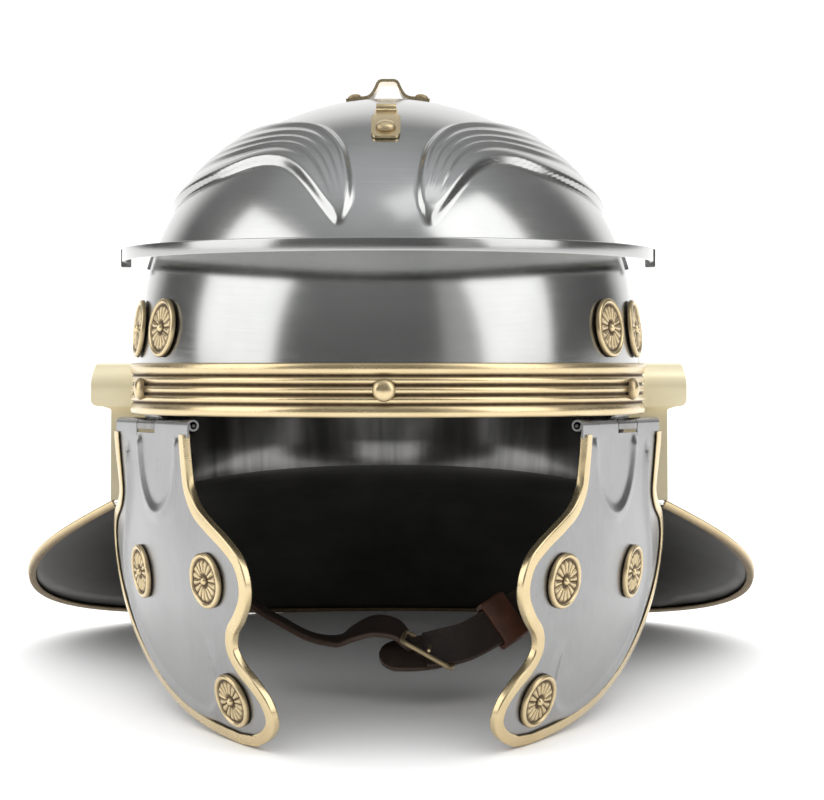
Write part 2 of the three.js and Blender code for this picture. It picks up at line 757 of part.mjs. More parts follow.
// Outline: "down" is a share of the cheek's drop, front and rear are shares of the hinge
const cheekOutline = [
  { down: 0.028, front: 0.05, rear: 0.995 },
  { down: 0.1, front: 0.05, rear: 1.0 },
  { down: 0.18, front: 0.048, rear: 1.012 },
  { down: 0.225, front: 0.024, rear: 1.025 },
  { down: 0.265, front: -0.025, rear: 1.09 },
  { down: 0.305, front: -0.12, rear: 1.22 },
  { down: 0.355, front: -0.245, rear: 1.3 },
  { down: 0.41, front: -0.34, rear: 1.325 },
  { down: 0.475, front: -0.375, rear: 1.315 },
  { down: 0.54, front: -0.36, rear: 1.285 },
  { down: 0.6, front: -0.295, rear: 1.225 },
  { down: 0.65, front: -0.215, rear: 1.16 },
  { down: 0.7, front: -0.19, rear: 1.085 },
  { down: 0.75, front: -0.225, rear: 0.995 },
  { down: 0.8, front: -0.295, rear: 0.89 },
  { down: 0.85, front: -0.345, rear: 0.765 },
  { down: 0.9, front: -0.355, rear: 0.61 },
  { down: 0.94, front: -0.33, rear: 0.44 },
  { down: 0.975, front: -0.26, rear: 0.21 },
  { down: 1, front: -0.15, rear: -0.03 },
];

function cheekPlate() {
  const columns = 5;
  const rows = cheekOutline.map((row) => Array.from({ length: columns + 1 }, (_, k) => cheekPoint(
    THREE.MathUtils.lerp(row.front, row.rear, k / columns) * hingeLength,
    row.down * cheekDrop,
  )));
  return gridSheet(rows, cheekSteel, hingeOut);
}

function knuckle(from, to) {
  const bore = (pinRadius + pinClearance) / Math.cos(Math.PI / 10);
  const length = to - from;
  const section = [[bore, 0], [knuckleRadius, 0], [knuckleRadius, length], [bore, length], [bore, 0]];
  const tube = new THREE.LatheGeometry(section.map(([r, z]) => new THREE.Vector2(r, z)), 10);
  tube.applyQuaternion(new THREE.Quaternion().setFromUnitVectors(vector(0, 1, 0), hingeAlong));
  const at = hingeStart.clone().addScaledVector(hingeAlong, from);
  return outward(tube.translate(at.x, at.y, at.z));
}

// The same body with its shared corners merged and its faces pointing out
function outward(geometry) {
  const bare = geometry.clone();
  bare.deleteAttribute('normal');
  bare.deleteAttribute('uv');
  const merged = mergeVertices(bare, 1e-4);
  const place = merged.attributes.position;
  const points = Array.from({ length: place.count }, (_, k) => vector().fromBufferAttribute(place, k));
  const faces = [];
  for (let k = 0; k < merged.index.count; k += 3) {
    const face = [0, 1, 2].map((corner) => merged.index.getX(k + corner));
    if (new Set(face).size === 3) faces.push(face);
  }
  return body(points, faces);
}

// Web between a knuckle and the cheek's top edge
function knuckleWeb(from, to) {
  const stations = [from, to].map((along) => ({
    at: hingeStart.clone().addScaledVector(hingeAlong, along), across: hingeOut, up: vector(0, 0, 1),
  }));
  const face = knuckleRadius - 0.15;
  const back = face - 0.9;
  const foot = -(cheekOutline[0].down * cheekDrop + 0.8);
  return sweep(stations, [[back, foot], [face, foot], [face, 0], [back, 0]]);
}

// A raised line pressed into the cheek along a list of [along, down] shares
function cheekRidge(route) {
  const curve = new THREE.CatmullRomCurve3(route.map(([along, down]) => vector(
    along * hingeLength,
    down * cheekDrop,
    0,
  )));
  const steps = 8;
  const stations = [];
  for (let k = 0; k <= steps; k += 1) {
    const place = curve.getPoint(k / steps);
    const heading = curve.getTangent(k / steps);
    const up = cheekNormal(place.x, place.y);
    const along = hingeAlong.clone().multiplyScalar(heading.x).add(vector(0, 0, -heading.y));
    stations.push({ at: cheekPoint(place.x, place.y), up, across: vector().crossVectors(along, up).normalize() });
  }
  const half = cheekRidgeWidth / 2;
  const section = [[-half, -0.5], [half, -0.5], [0, cheekRidgeHeight]];
  return sweep(stations, section, (k) => (k === 0 || k === steps ? 0.5 : 1));
}

const ringRidge = [[0.16, 0.06], [0.2, 0.17], [0.3, 0.26], [0.43, 0.29], [0.56, 0.25], [0.64, 0.16], [0.66, 0.06]];
const contourRidge = [
  [0.83, 0.05], [0.85, 0.2], [0.93, 0.33], [1.03, 0.42], [1.06, 0.53], [0.97, 0.66],
  [0.78, 0.79], [0.5, 0.885], [0.22, 0.92], [0.1, 0.84], [0.02, 0.74], [-0.03, 0.65],
];
const leafFrom = leafKnuckleFrom * hingeLength;
const leafTo = leafKnuckleTo * hingeLength;
const cheekPiece = joined(
  cheekPlate(),
  knuckle(0, leafFrom - knuckleGap),
  knuckle(leafTo + knuckleGap, hingeLength),
  knuckleWeb(0.05 * hingeLength, leafFrom - knuckleGap - 0.2),
  knuckleWeb(leafTo + knuckleGap + 0.2, hingeLength - 0.5),
  cheekRidge(ringRidge),
  cheekRidge(contourRidge),
);
addPair('cheek_piece', cheekPiece, paleSteel);

function cheekEdging() {
  const rim = [
    ...cheekOutline.map((row) => [row.front, row.down]),
    ...[...cheekOutline].reverse().map((row) => [row.rear, row.down]),
  ].map(([along, down]) => [along * hingeLength, down * cheekDrop]);
  const stations = rim.map(([along, down], k) => {
    const before = rim[Math.max(0, k - 1)];
    const after = rim[Math.min(rim.length - 1, k + 1)];
    const heading = vector(after[0] - before[0], after[1] - before[1], 0).normalize();
    const up = cheekNormal(along, down);
    const route = hingeAlong.clone().multiplyScalar(heading.x).add(vector(0, 0, -heading.y));
    const across = vector().crossVectors(route, up).normalize();
    return { at: cheekPoint(along, down), up, across };
  });
  const middle = cheekPoint(0.4 * hingeLength, 0.5 * cheekDrop);
  for (const station of stations) {
    if (station.across.dot(vector().subVectors(station.at, middle)) < 0) station.across.negate();
  }
  return sweep(stations, edgingSection(cheekEdgingWidth, cheekSteel, seat));
}
addPair('cheek_edging', cheekEdging(), brass);

function onCheek(geometry, along, down) {
  const [a, d] = [along * hingeLength, down * cheekDrop];
  const up = cheekNormal(a, d);
  return standOn(geometry, cheekPoint(a, d).addScaledVector(up, seat), up);
}
addPair('cheek_rosette', onCheek(rosette(cheekRosetteRadius), -0.05, 0.485), brass, '_front');
addPair('cheek_rosette', onCheek(rosette(cheekRosetteRadius), 0.68, 0.485), brass, '_rear');
addPair('cheek_rosette', onCheek(rosette(cheekRosetteRadius), -0.075, 0.865), brass, '_lower');

// Hinge leaf: a plate inside the bowl's edge with the middle knuckle rolled at its foot
function hingeLeaf() {
  const rise = [0, seat, 0.5 * leafRise, leafRise];
  const rows = rise.map((z, k) => [0, 0.25, 0.5, 0.75, 1].map((share) => {
    const at = hingeStart.clone().addScaledVector(hingeAlong, THREE.MathUtils.lerp(leafFrom, leafTo, share));
    if (k === 0) return at.addScaledVector(hingeOut, -pinRadius - pinClearance - 0.1);
    const angle = THREE.MathUtils.radToDeg(Math.atan2(at.x / bowlHalfWidth, -at.y / bowlHalfDepth));
    return bowlPoint(angle, z, -bowlSteel - leafClearance);
  }));
  return joined(gridSheet(rows, leafSheet, hingeOut), knuckle(leafFrom, leafTo));
}
addPair('hinge_leaf', hingeLeaf(), steel);

function hingePin() {
  const pin = new THREE.CylinderGeometry(pinRadius, pinRadius, hingeLength + 1, 10);
  const turn = new THREE.Quaternion().setFromUnitVectors(vector(0, 1, 0), hingeAlong);
  const at = hingeStart.clone().lerp(hingeEnd, 0.5);
  return pin.applyQuaternion(turn).translate(at.x, at.y, at.z);
}
addPair('hinge_pin', hingePin(), steel);

// Chin strap: two leather straps from inside the bowl's back corners, meeting at a buckle.
// Places are shares of the anchor's side and depth and of the strap's drop.
const leftStrap = [
  { side: 1, back: 1, down: -0.08, wide: [0.231, 0.973, 0] },
  { side: 1, back: 1, down: 0.02, wide: [0.231, 0.973, 0] },
  { side: 0.94, back: 0.93, down: 0.2, wide: [0.2, 0.98, 0] },
  { side: 0.82, back: 0.68, down: 0.45, wide: [0.1, 0.99, 0.05] },
  { side: 0.68, back: 0.33, down: 0.68, wide: [0, 0.99, 0.1] },
  { side: 0.53, back: 0.02, down: 0.83, wide: [0, 0.99, 0.08] },
  { side: 0.36, back: -0.25, down: 0.92, wide: [0, 1, 0.03] },
  { side: 0.19, back: -0.42, down: 0.955, wide: [0, 1, 0.05] },
  { side: 0.06, back: -0.52, down: 0.94, wide: [0, 0.94, 0.3] },
  { side: -0.055, back: -0.57, down: 0.955, wide: [0, 0.84, 0.54] },
];
const rightStrap = [
  { side: -1, back: 1, down: -0.08, wide: [-0.231, 0.973, 0] },
  { side: -1, back: 1, down: 0.02, wide: [-0.231, 0.973, 0] },
  { side: -0.96, back: 0.93, down: 0.18, wide: [-0.2, 0.97, 0.1] },
  { side: -0.88, back: 0.68, down: 0.4, wide: [-0.2, 0.9, 0.35] },
  { side: -0.77, back: 0.35, down: 0.6, wide: [-0.25, 0.75, 0.6] },
  { side: -0.64, back: 0, down: 0.76, wide: [-0.3, 0.6, 0.74] },
  { side: -0.5, back: -0.3, down: 0.88, wide: [-0.25, 0.62, 0.74] },
  { side: -0.31, back: -0.52, down: 0.97, wide: [-0.1, 0.75, 0.65] },
];
const strapPlace = ({ side, back, down }) => vector(-side * strapAnchorX, back * strapAnchorY, -down * strapDrop);

function strapStations(rows, steps) {
  const route = new THREE.CatmullRomCurve3(rows.map(strapPlace));
  const width = new THREE.CatmullRomCurve3(rows.map((row) => vector(...row.wide)));
  return Array.from({ length: steps + 1 }, (_, k) => {
    const along = route.getTangent(k / steps);
    const across = width.getPoint(k / steps);
    across.addScaledVector(along, -across.dot(along)).normalize();
    const up = vector().crossVectors(across, along).normalize();
    if (up.z < -0.01 || (Math.abs(up.z) <= 0.01 && up.x * route.getPoint(k / steps).x > 0)) up.negate();
    return { at: route.getPoint(k / steps), across, up };
  });
}

function strapBody(stations) {
  const half = strapWidth / 2;
  const t = strapLeather / 2;
  return sweep(stations, [[-half, -t], [half, -t], [half, t], [-half, t]]);
}
const leftStations = strapStations(leftStrap, 16);
const rightStations = strapStations(rightStrap, 14);
add('chin_strap_left', strapBody(leftStations), leather);
add('chin_strap_right', strapBody(rightStations), leather);

// Buckle: a square brass frame lying between the straps' ends
const leftEnd = leftStations.at(-1);
const rightEnd = rightStations.at(-1);
function buckle() {
  const along = vector().subVectors(rightEnd.at, leftEnd.at);
  const gap = along.length();
  along.normalize();
  const across = leftEnd.across.clone().add(rightEnd.across);
  across.addScaledVector(along, -across.dot(along)).normalize();
  const up = vector().crossVectors(along, across).normalize();
  const length = gap - 2 * buckleClearance;
  const outline = new THREE.Shape();
  const [a, b] = [length / 2, buckleWidth / 2];
  outline.moveTo(-a, -b).lineTo(a, -b).lineTo(a, b).lineTo(-a, b).closePath();
  const eye = new THREE.Path();
  const [c, d] = [a - buckleWire, b - buckleWire];
  eye.moveTo(-c, -d).lineTo(-c, d).lineTo(c, d).lineTo(c, -d).closePath();
  outline.holes.push(eye);
  const frame = new THREE.ExtrudeGeometry(outline, { depth: buckleWire, bevelEnabled: false });
  frame.translate(0, 0, -buckleWire / 2);
  const middle = leftEnd.at.clone().lerp(rightEnd.at, 0.5);
  frame.applyMatrix4(new THREE.Matrix4().makeBasis(along, across, up).setPosition(middle));
  return outward(frame);
}
add('chin_strap_buckle', buckle(), brass);

// Keeper: a loop of leather round the right strap
function keeper() {
  const station = rightStations[Math.round(keeperShare * (rightStations.length - 1))];
  const along = vector().crossVectors(station.across, station.up).normalize();
  const outline = new THREE.Shape();
  const [c, d] = [strapWidth / 2 + 2 * seat, strapLeather / 2 + 2 * seat];
  const [a, b] = [c + keeperWall, d + keeperWall];
  outline.moveTo(-a, -b).lineTo(a, -b).lineTo(a, b).lineTo(-a, b).closePath();
  const eye = new THREE.Path();
  eye.moveTo(-c, -d).lineTo(-c, d).lineTo(c, d).lineTo(c, -d).closePath();
  outline.holes.push(eye);
  const loop = new THREE.ExtrudeGeometry(outline, { depth: keeperLength, bevelEnabled: false });
  loop.translate(0, 0, -keeperLength / 2);
  const turn = new THREE.Matrix4().makeBasis(station.across, station.up, along);
  loop.applyMatrix4(turn.setPosition(station.at));
  return outward(loop);
}
add('chin_strap_keeper', keeper(), redLeather);

// Strap rivets: one through the bowl's back corner on each side, its head on the leather
function strapRivet() {
  const at = strapPlace({ side: -1, back: 1, down: -0.04 });
  const up = bowlNormal(at.clone().setZ(0)).negate();
  return standOn(rivet(smallRivetRadius), at.addScaledVector(up, strapLeather / 2 + seat), up);
}
addPair('chin_strap_rivet', strapRivet(), brass);

// The helmet stands on the tips of its cheek pieces and on the neck guard's rim: the tilt
// is the one that brings both down to the same level
function standingTilt(group) {
  let tilt = 0;
  for (let round = 0; round < 12; round += 1) {
    const lowest = { front: null, rear: null };
    for (const mesh of group.children) {
      const place = mesh.geometry.attributes.position;
      for (let k = 0; k < place.count; k += 1) {
        const [y, z] = [place.getY(k), place.getZ(k)];
        const fall = z * Math.cos(tilt) - y * Math.sin(tilt);
        const end = y < 0 ? 'front' : 'rear';
        if (!lowest[end] || fall < lowest[end].fall) lowest[end] = { fall, y, z };
      }
    }
    tilt = Math.atan2(lowest.rear.z - lowest.front.z, lowest.rear.y - lowest.front.y);
  }
  return tilt;
}

helmet.rotation.x = -standingTilt(helmet);
const standing = new THREE.Group();
standing.add(helmet);
standing.updateMatrixWorld(true);
const bounds = new THREE.Box3().setFromObject(standing, true);
const middle = bounds.getCenter(vector());
helmet.position.set(-middle.x, -middle.y, -bounds.min.z);

export default standing;
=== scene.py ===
import json
import math

import bmesh
import bpy
import numpy as np
from mathutils import Matrix, Vector


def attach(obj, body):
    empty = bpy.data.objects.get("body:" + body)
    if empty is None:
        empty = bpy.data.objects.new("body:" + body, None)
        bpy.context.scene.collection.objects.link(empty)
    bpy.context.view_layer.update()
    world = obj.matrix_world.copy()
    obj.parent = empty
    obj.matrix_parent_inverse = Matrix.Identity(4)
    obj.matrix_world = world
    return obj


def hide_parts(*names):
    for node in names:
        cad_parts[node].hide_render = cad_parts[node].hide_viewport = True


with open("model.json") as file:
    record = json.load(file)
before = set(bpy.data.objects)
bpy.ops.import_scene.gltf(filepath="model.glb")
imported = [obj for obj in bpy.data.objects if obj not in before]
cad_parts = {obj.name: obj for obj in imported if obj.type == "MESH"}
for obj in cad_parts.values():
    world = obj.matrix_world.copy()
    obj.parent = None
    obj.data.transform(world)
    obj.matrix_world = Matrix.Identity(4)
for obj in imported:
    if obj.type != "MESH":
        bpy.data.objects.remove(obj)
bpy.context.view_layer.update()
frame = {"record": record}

# The helmet is drawn in its wearing frame: millimetres, X to the side, Y to the back, Z up,
# origin at the centre of the brow band's lower edge. The flat top of the crest bridge, which
# the record gives, says how that frame stands on the floor.
crest_mount = frame["record"]["mounts"][0]
crest_top_y, crest_top_z = 5.0, 135.9
up_axis = Vector(crest_mount["axis"]).normalized()
back_axis = Vector((0.0, up_axis.z, -up_axis.y))
origin = Vector(crest_mount["pos_m"]) - 0.001 * (crest_top_y * back_axis + crest_top_z * up_axis)
worn = Matrix((Vector((1.0, 0.0, 0.0)), back_axis, up_axis)).transposed().to_4x4()
worn.translation = origin

# Camera: the photograph was taken from straight ahead with a long lens, level with the brow band.
camera_at = Vector((16.2, -1278.0, 18.8)) * 0.001
camera_yaw, camera_pitch = 0.005, math.radians(0.604)
forward = Vector((
    -math.sin(camera_yaw) * math.cos(camera_pitch),
    math.cos(camera_yaw) * math.cos(camera_pitch),
    -math.sin(camera_pitch),
))
side = Vector((math.cos(camera_yaw), math.sin(camera_yaw), 0.0))
above = side.cross(forward)
camera_turn = Matrix((side, above, -forward)).transposed().to_4x4()
lens = bpy.data.cameras.new("camera")
lens.lens, lens.sensor_width, lens.sensor_fit = 136.7, 36.0, "HORIZONTAL"
lens.clip_start, lens.clip_end = 0.05, 60.0
camera = bpy.data.objects.new("camera", lens)
camera.matrix_world = worn @ Matrix.Translation(camera_at) @ camera_turn
bpy.context.scene.collection.objects.link(camera)
bpy.context.scene.camera = camera
bpy.context.scene.view_settings.view_transform = "Standard"


# Studio: a white floor in a white room that grows brighter overhead. Polished metal sees a darker
# room, as it does between the flags of a product table, with a soft box on each side and two glows.
class Wire:
    """An output socket of a node tree. Arithmetic on it adds Math nodes."""

    def __init__(self, tree, socket=None):
        self.tree = tree
        self.socket = socket

    def node(self, kind, settings=None, inputs=None, output=0):
        """A new node, its settings set first and then the values or links of its sockets."""
        made = self.tree.nodes.new(kind)
        for name, value in (settings or {}).items():
            setattr(made, name, value)
        for name, value in (inputs or {}).items():
            if isinstance(value, Wire):
                self.tree.links.new(value.socket, made.inputs[name])
            else:
                made.inputs[name].default_value = value
        return Wire(self.tree, made.outputs[output] if len(made.outputs) else None)

    def __add__(self, other):
        return self.node("ShaderNodeMath", {"operation": "ADD"}, {0: self, 1: other})

    __radd__ = __add__

    def __mul__(self, other):
        return self.node("ShaderNodeMath", {"operation": "MULTIPLY"}, {0: self, 1: other})

    __rmul__ = __mul__

    def __sub__(self, other):
        return self.node("ShaderNodeMath", {"operation": "SUBTRACT"}, {0: self, 1: other})

    def __rsub__(self, other):
        return self.node("ShaderNodeMath", {"operation": "SUBTRACT"}, {0: other, 1: self})


def ramp(wire, low, high):
    """0 up to low, 1 from high on, and straight in between."""
    return wire.node("ShaderNodeMapRange", {"clamp": True}, {0: wire, 1: low, 2: high, 3: 0.0, 4: 1.0})


def blend(mask, first, second):
    """The colour first where the mask is 0, second where it is 1."""
    inputs = {0: mask}
    for slot, colour in ((6, first), (7, second)):
        inputs[slot] = colour if isinstance(colour, Wire) else (*colour, 1.0)
    return mask.node("ShaderNodeMix", {"data_type": "RGBA"}, inputs, 2)


world = bpy.data.worlds.new("studio")
world.use_nodes = True
world.node_tree.nodes.clear()
room = Wire(world.node_tree)
look = room.node("ShaderNodeTexCoord", output="Generated")
toward_back = room.node("ShaderNodeSeparateXYZ", {}, {0: look}, "Y")
height = room.node("ShaderNodeSeparateXYZ", {}, {0: look}, "Z")
front_room = blend(ramp(height, 0.0, 0.75), (0.08, 0.08, 0.08), (0.34, 0.345, 0.345))
front_room = blend(ramp(height, 0.7, 1.0), front_room, (0.74, 0.76, 0.79))
dark_room = blend(ramp(toward_back, 0.70, 0.88), front_room, (1.25, 1.25, 1.25))
open_room = blend(ramp(height, 0.0, 1.0), (0.55, 0.55, 0.55), (2.3, 2.3, 2.3))
straight = room.node("ShaderNodeLightPath", output="Is Camera Ray")
white_room = blend(straight, open_room, (1.05, 1.05, 1.05))
seen_dark = room.node("ShaderNodeBackground", {}, {"Color": dark_room, "Strength": 1.0})
seen_white = room.node("ShaderNodeBackground", {}, {"Color": white_room, "Strength": 1.0})
glossy = room.node("ShaderNodeLightPath", output="Is Glossy Ray")
room.node("ShaderNodeOutputWorld", {}, {
    "Surface": room.node("ShaderNodeMixShader", {}, {0: glossy, 1: seen_white, 2: seen_dark}),
})
bpy.context.scene.world = world


def soft_box(name, azimuth, elevation, half_width, half_height, radiance):
    """A light panel that only polished surfaces show. Angles are in degrees from the helmet,
    azimuth 0 in front and 90 at the +X side."""
    aim_height, distance = 0.12, 1.5
    width, height = (2 * distance * math.tan(math.radians(half)) for half in (half_width, half_height))
    power = math.pi * radiance * width * height
    light = bpy.data.lights.new(name, "AREA")
    light.shape, light.size, light.size_y, light.energy = "RECTANGLE", width, height, power
    lamp = bpy.data.objects.new(name, light)
    turn, lift = math.radians(azimuth), math.radians(elevation)
    way = Vector((math.sin(turn) * math.cos(lift), -math.cos(turn) * math.cos(lift), math.sin(lift)))
    lamp.location = Vector((0.0, 0.0, aim_height)) + way * distance
    lamp.rotation_euler = way.to_track_quat("Z", "Y").to_euler()
    lamp.visible_camera = False
    lamp.visible_diffuse = False
    bpy.context.scene.collection.objects.link(lamp)


soft_box("left_soft_box", -77, 25, 23, 23, 1.95)
soft_box("right_soft_box", 66, 33, 20, 30, 1.95)
soft_box("right_glow", 36, 22, 8, 17, 0.40)
soft_box("right_top_glow", 40, 72, 12, 7, 0.9)

floor_mesh = bpy.data.meshes.new("floor")
floor_reach = 14.0
floor_mesh.from_pydata(
    [(-floor_reach, -floor_reach, 0), (floor_reach, -floor_reach, 0),
     (floor_reach, floor_reach, 0), (-floor_reach, floor_reach, 0)],
    [], [(0, 1, 2, 3)],
)
floor = bpy.data.objects.new("floor", floor_mesh)
bpy.context.scene.collection.objects.link(floor)
paper = bpy.data.materials.new("white_paper")
paper.use_nodes = True
paper_shader = paper.node_tree.nodes["Principled BSDF"]
paper_shader.inputs["Base Color"].default_value = (0.93, 0.93, 0.93, 1.0)
paper_shader.inputs["Roughness"].default_value = 0.8
floor_mesh.materials.append(paper)


# Skull: the bowl, the nape and the broad neck guard are one sheet of 1.2 mm steel, raised from
# below. The eyebrows are embossed into it: five nested folds on each side that start at a point
# over the brow and sweep back round the crown.
def new_finish(name):
    """A new material, its shader and a wire to build on."""
    made = bpy.data.materials.new(name)
    made.use_nodes = True
    return made, made.node_tree.nodes["Principled BSDF"], Wire(made.node_tree)


def link(wire, shader, socket):
    wire.tree.links.new(wire.socket, shader.inputs[socket])


def noise(place, scale, detail, roughness):
    return place.node("ShaderNodeTexNoise", {}, {
        "Vector": place, "Scale": scale, "Detail": detail, "Roughness": roughness,
    })


def brush_marks(place, scale):
    """Noise stretched by its three scales into the marks of a brush."""
    return noise(place.node("ShaderNodeMapping", {}, {"Vector": place, "Scale": scale}), 1.0, 3.0, 0.6)


def steel_material(name, dark, light, roughness, brushing=(30.0, 30.0, 2200.0), grain=0.25):
    made, shader, wire = new_finish(name)
    place = wire.node("ShaderNodeTexCoord", output="Object")
    cloud = noise(place, 22.0, 4.0, 0.55)
    streak = brush_marks(place, brushing)
    shade = ramp(cloud * (1 - grain) + streak * grain, 0.3, 0.7)
    link(blend(shade, dark, light), shader, "Base Color")
    shader.inputs["Metallic"].default_value = 1.0
    link((cloud - 0.5) * 0.10 + (streak - 0.5) * 0.07 + roughness, shader, "Roughness")
    bump = wire.node("ShaderNodeBump", {}, {"Strength": 0.05, "Distance": 0.0001, "Height": streak})
    link(bump, shader, "Normal")
    return made


bowl_steel = steel_material("bowl_steel", (0.385, 0.39, 0.38), (0.475, 0.475, 0.465), 0.20)
# A darker copy of the bowl steel for the inside of the bowl, and for the hinge leaves and pins inside its
# edge: painted shade. Its strong upright streaks stand in for bands of reflected light on the inside: painted
# reflection.
shaded_inner_steel = steel_material("shaded_inner_steel", (0.10, 0.10, 0.096), (0.30, 0.295, 0.285), 0.22,
                             brushing=(95.0, 95.0, 6.0), grain=0.85)
# A near-black copy of the steel for the inside of the nape and neck guard and the backs of the cheek pieces:
# painted shade.
shade_black_steel = steel_material("shade_black_steel", (0.055, 0.054, 0.050), (0.12, 0.118, 0.112), 0.42)

bowl_half_width, bowl_half_depth, bowl_height = 102.3, 118.3, 128.0
bowl_fullness, bowl_shoulder, bowl_sheet = 2.935, 0.536, 1.2
ear_angle, shoulder_angle = 106.0, 128.0
crease_drop, ear_edge_drop = 28.0, 38.0
guard_half_width, guard_length, guard_shoulder_y = 160.0, 90.0, 112.0
guard_corner, guard_side_drop, guard_back_drop = 17.0, 75.0, 95.3


def stacked(x, y, z):
    return np.stack(np.broadcast_arrays(x, y, z), axis=-1).astype(float)


def unit(vectors):
    return vectors / np.maximum(np.linalg.norm(vectors, axis=-1, keepdims=True), 1e-9)


def bowl_normal(points):
    share = np.clip(points[..., 2] / bowl_height, 0.0, 0.9999)
    rest = 1 - share ** bowl_fullness
    slope = (bowl_shoulder * bowl_fullness / bowl_height) * share ** (bowl_fullness - 1)
    slope = slope * rest ** (2 * bowl_shoulder - 1)
    return unit(stacked(points[..., 0] / bowl_half_width ** 2, points[..., 1] / bowl_half_depth ** 2, slope))


def bowl_point(angle, z, lift=0.0):
    """Point on the outside of the bowl. Angles are in degrees from the front."""
    share = np.clip(np.asarray(z, float) / bowl_height, 0.0, 1.0)
    level = (1 - share ** bowl_fullness) ** bowl_shoulder
    turn = np.radians(angle)
    point = stacked(bowl_half_width * level * np.sin(turn), -bowl_half_depth * level * np.cos(turn), z)
    return point + bowl_normal(point) * np.asarray(lift, float)[..., None]


def smooth(low, high, value):
    share = np.clip((value - low) / (high - low), 0.0, 1.0)
    return share * share * (3 - 2 * share)


def through(points, count):
    """A smooth line through the points, as count samples."""
    points = np.asarray(points, float)
    padded = np.vstack([2 * points[0] - points[1], points, 2 * points[-1] - points[-2]])
    place = np.linspace(0, len(points) - 1, count)
    start = np.minimum(place.astype(int), len(points) - 2)
    t = (place - start)[:, None]
    a, b, c, d = (padded[start + k] for k in range(4))
    bend, twist = 2 * a - 5 * b + 4 * c - d, 3 * b - a - 3 * c + d
    return 0.5 * (2 * b + (c - a) * t + bend * t ** 2 + twist * t ** 3)


def even(points, count):
    """The same line with its samples spaced evenly."""
    steps = np.linalg.norm(np.diff(points, axis=0), axis=1)
    along = np.concatenate([[0], np.cumsum(steps)])
    wanted = np.linspace(0, along[-1], count)
    return np.stack([np.interp(wanted, along, points[:, k]) for k in range(points.shape[1])], axis=1)


def grid_faces(rows, columns, wrap=False, start=0):
    faces = []
    for i in range(rows - 1):
        for j in range(columns if wrap else columns - 1):
            a, b = start + i * columns + j, start + i * columns + (j + 1) % columns
            faces.append((a, b, b + columns, a + columns))
    return faces


def make_piece(name, points, faces, materials, body, nodes=(), chosen=None, angle=38,
               tarnish_wear_and_shade=None):
    """A mesh piece drawn in the wearing frame, in millimetres, riding on a body."""
    placed = np.asarray(points, float) * 0.001
    turn = np.array(worn.to_3x3())
    placed = placed @ turn.T + np.array(worn.translation)
    mesh = bpy.data.meshes.new(name)
    mesh.from_pydata(placed.tolist(), [], [tuple(int(k) for k in face) for face in faces])
    for material in materials:
        mesh.materials.append(material)
    if chosen is not None:
        mesh.polygons.foreach_set("material_index", np.asarray(chosen, dtype=np.int32))
    # A mark on each point that the materials read. On brass it darkens for tarnish in hollows, and for
    # painted shade under the neck guard edging. On leather it lightens the worn edges.
    if tarnish_wear_and_shade is not None:
        layer = mesh.attributes.new("tarnish_wear_and_shade", "FLOAT", "POINT")
        layer.data.foreach_set("value", np.asarray(tarnish_wear_and_shade, dtype=np.float32))
    shaped = bmesh.new()
    shaped.from_mesh(mesh)
    bmesh.ops.recalc_face_normals(shaped, faces=shaped.faces)
    shaped.to_mesh(mesh)
    shaped.free()
    mesh.shade_smooth()
    mesh.set_sharp_from_angle(angle=math.radians(angle))
    piece = bpy.data.objects.new(name, mesh)
    bpy.context.scene.collection.objects.link(piece)
    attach(piece, body)
    if nodes:
        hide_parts(*nodes)


def crease_height(angle):
    aside = np.abs(180 - angle) / (180 - ear_angle)
    return -crease_drop - (ear_edge_drop - crease_drop) * aside ** 2


def guard_rim(angle):
    """Point on the neck guard's rim for a column of the bowl's back."""
    angle = np.asarray(angle, float)
    flip = np.where(angle > 180, -1.0, 1.0)
    turn = 180 - np.abs(180 - angle)
    corner = bowl_point(ear_angle, 0.0)
    start_x, start_y = corner[0] + guard_corner, corner[1] + 3.4
    share = np.clip((turn - ear_angle) / (shoulder_angle - ear_angle), 0, 1)
    fore = stacked(
        start_x + (guard_half_width - start_x) * np.sin(share * math.pi / 2),
        start_y + (guard_shoulder_y - start_y) * share,
        -ear_edge_drop - (guard_side_drop - ear_edge_drop) * share,
    )
    share = np.clip((turn - shoulder_angle) / (180 - shoulder_angle), 0, 1)
    back = np.sin(share * math.pi / 2)
    aft = stacked(
        guard_half_width * np.cos(share * math.pi / 2),
        guard_shoulder_y + (bowl_half_depth + guard_length - guard_shoulder_y) * back,
        -guard_back_drop + (guard_back_drop - guard_side_drop) * (1 - back) ** 2,
    )
    rim = np.where((turn < shoulder_angle)[..., None], fore, aft)
    return rim * stacked(flip, np.ones_like(flip), np.ones_like(flip))


# Rows: angle and share of the bowl's height on the lowest fold, then on the highest one
eyebrow_lines = np.array([
    (10.6, 0.559, 10.0, 0.562), (15.5, 0.625, 8.4, 0.648), (21, 0.688, 10.2, 0.745),
    (27, 0.734, 14.5, 0.817), (34, 0.758, 24.3, 0.870), (43, 0.758, 38.8, 0.891),
    (56, 0.723, 61, 0.891), (72, 0.684, 86, 0.867), (89, 0.641, 104, 0.809),
    (106, 0.598, 119, 0.742), (122, 0.570, 132, 0.691), (136, 0.602, 142, 0.711),
])
# Depth of the valleys between the folds: share of the way from the lowest line to the highest
fold_valleys = np.array([
    (0.0, 0.0), (0.14, 0.0), (0.23, 0.14), (0.30, 0.44), (0.345, 0.38), (0.415, 0.0), (0.485, 0.42),
    (0.56, 0.02), (0.635, 0.45), (0.72, 0.06), (0.81, 0.50), (0.90, 0.05), (1.0, 0.25),
])
fold_rise, fold_slope, valley_depth = 2.8, 2.2, 0.62
# Squared degrees round the bowl that count as much as its whole height, squared
turn_for_height = 6400
valley_line = through(fold_valleys, 400)


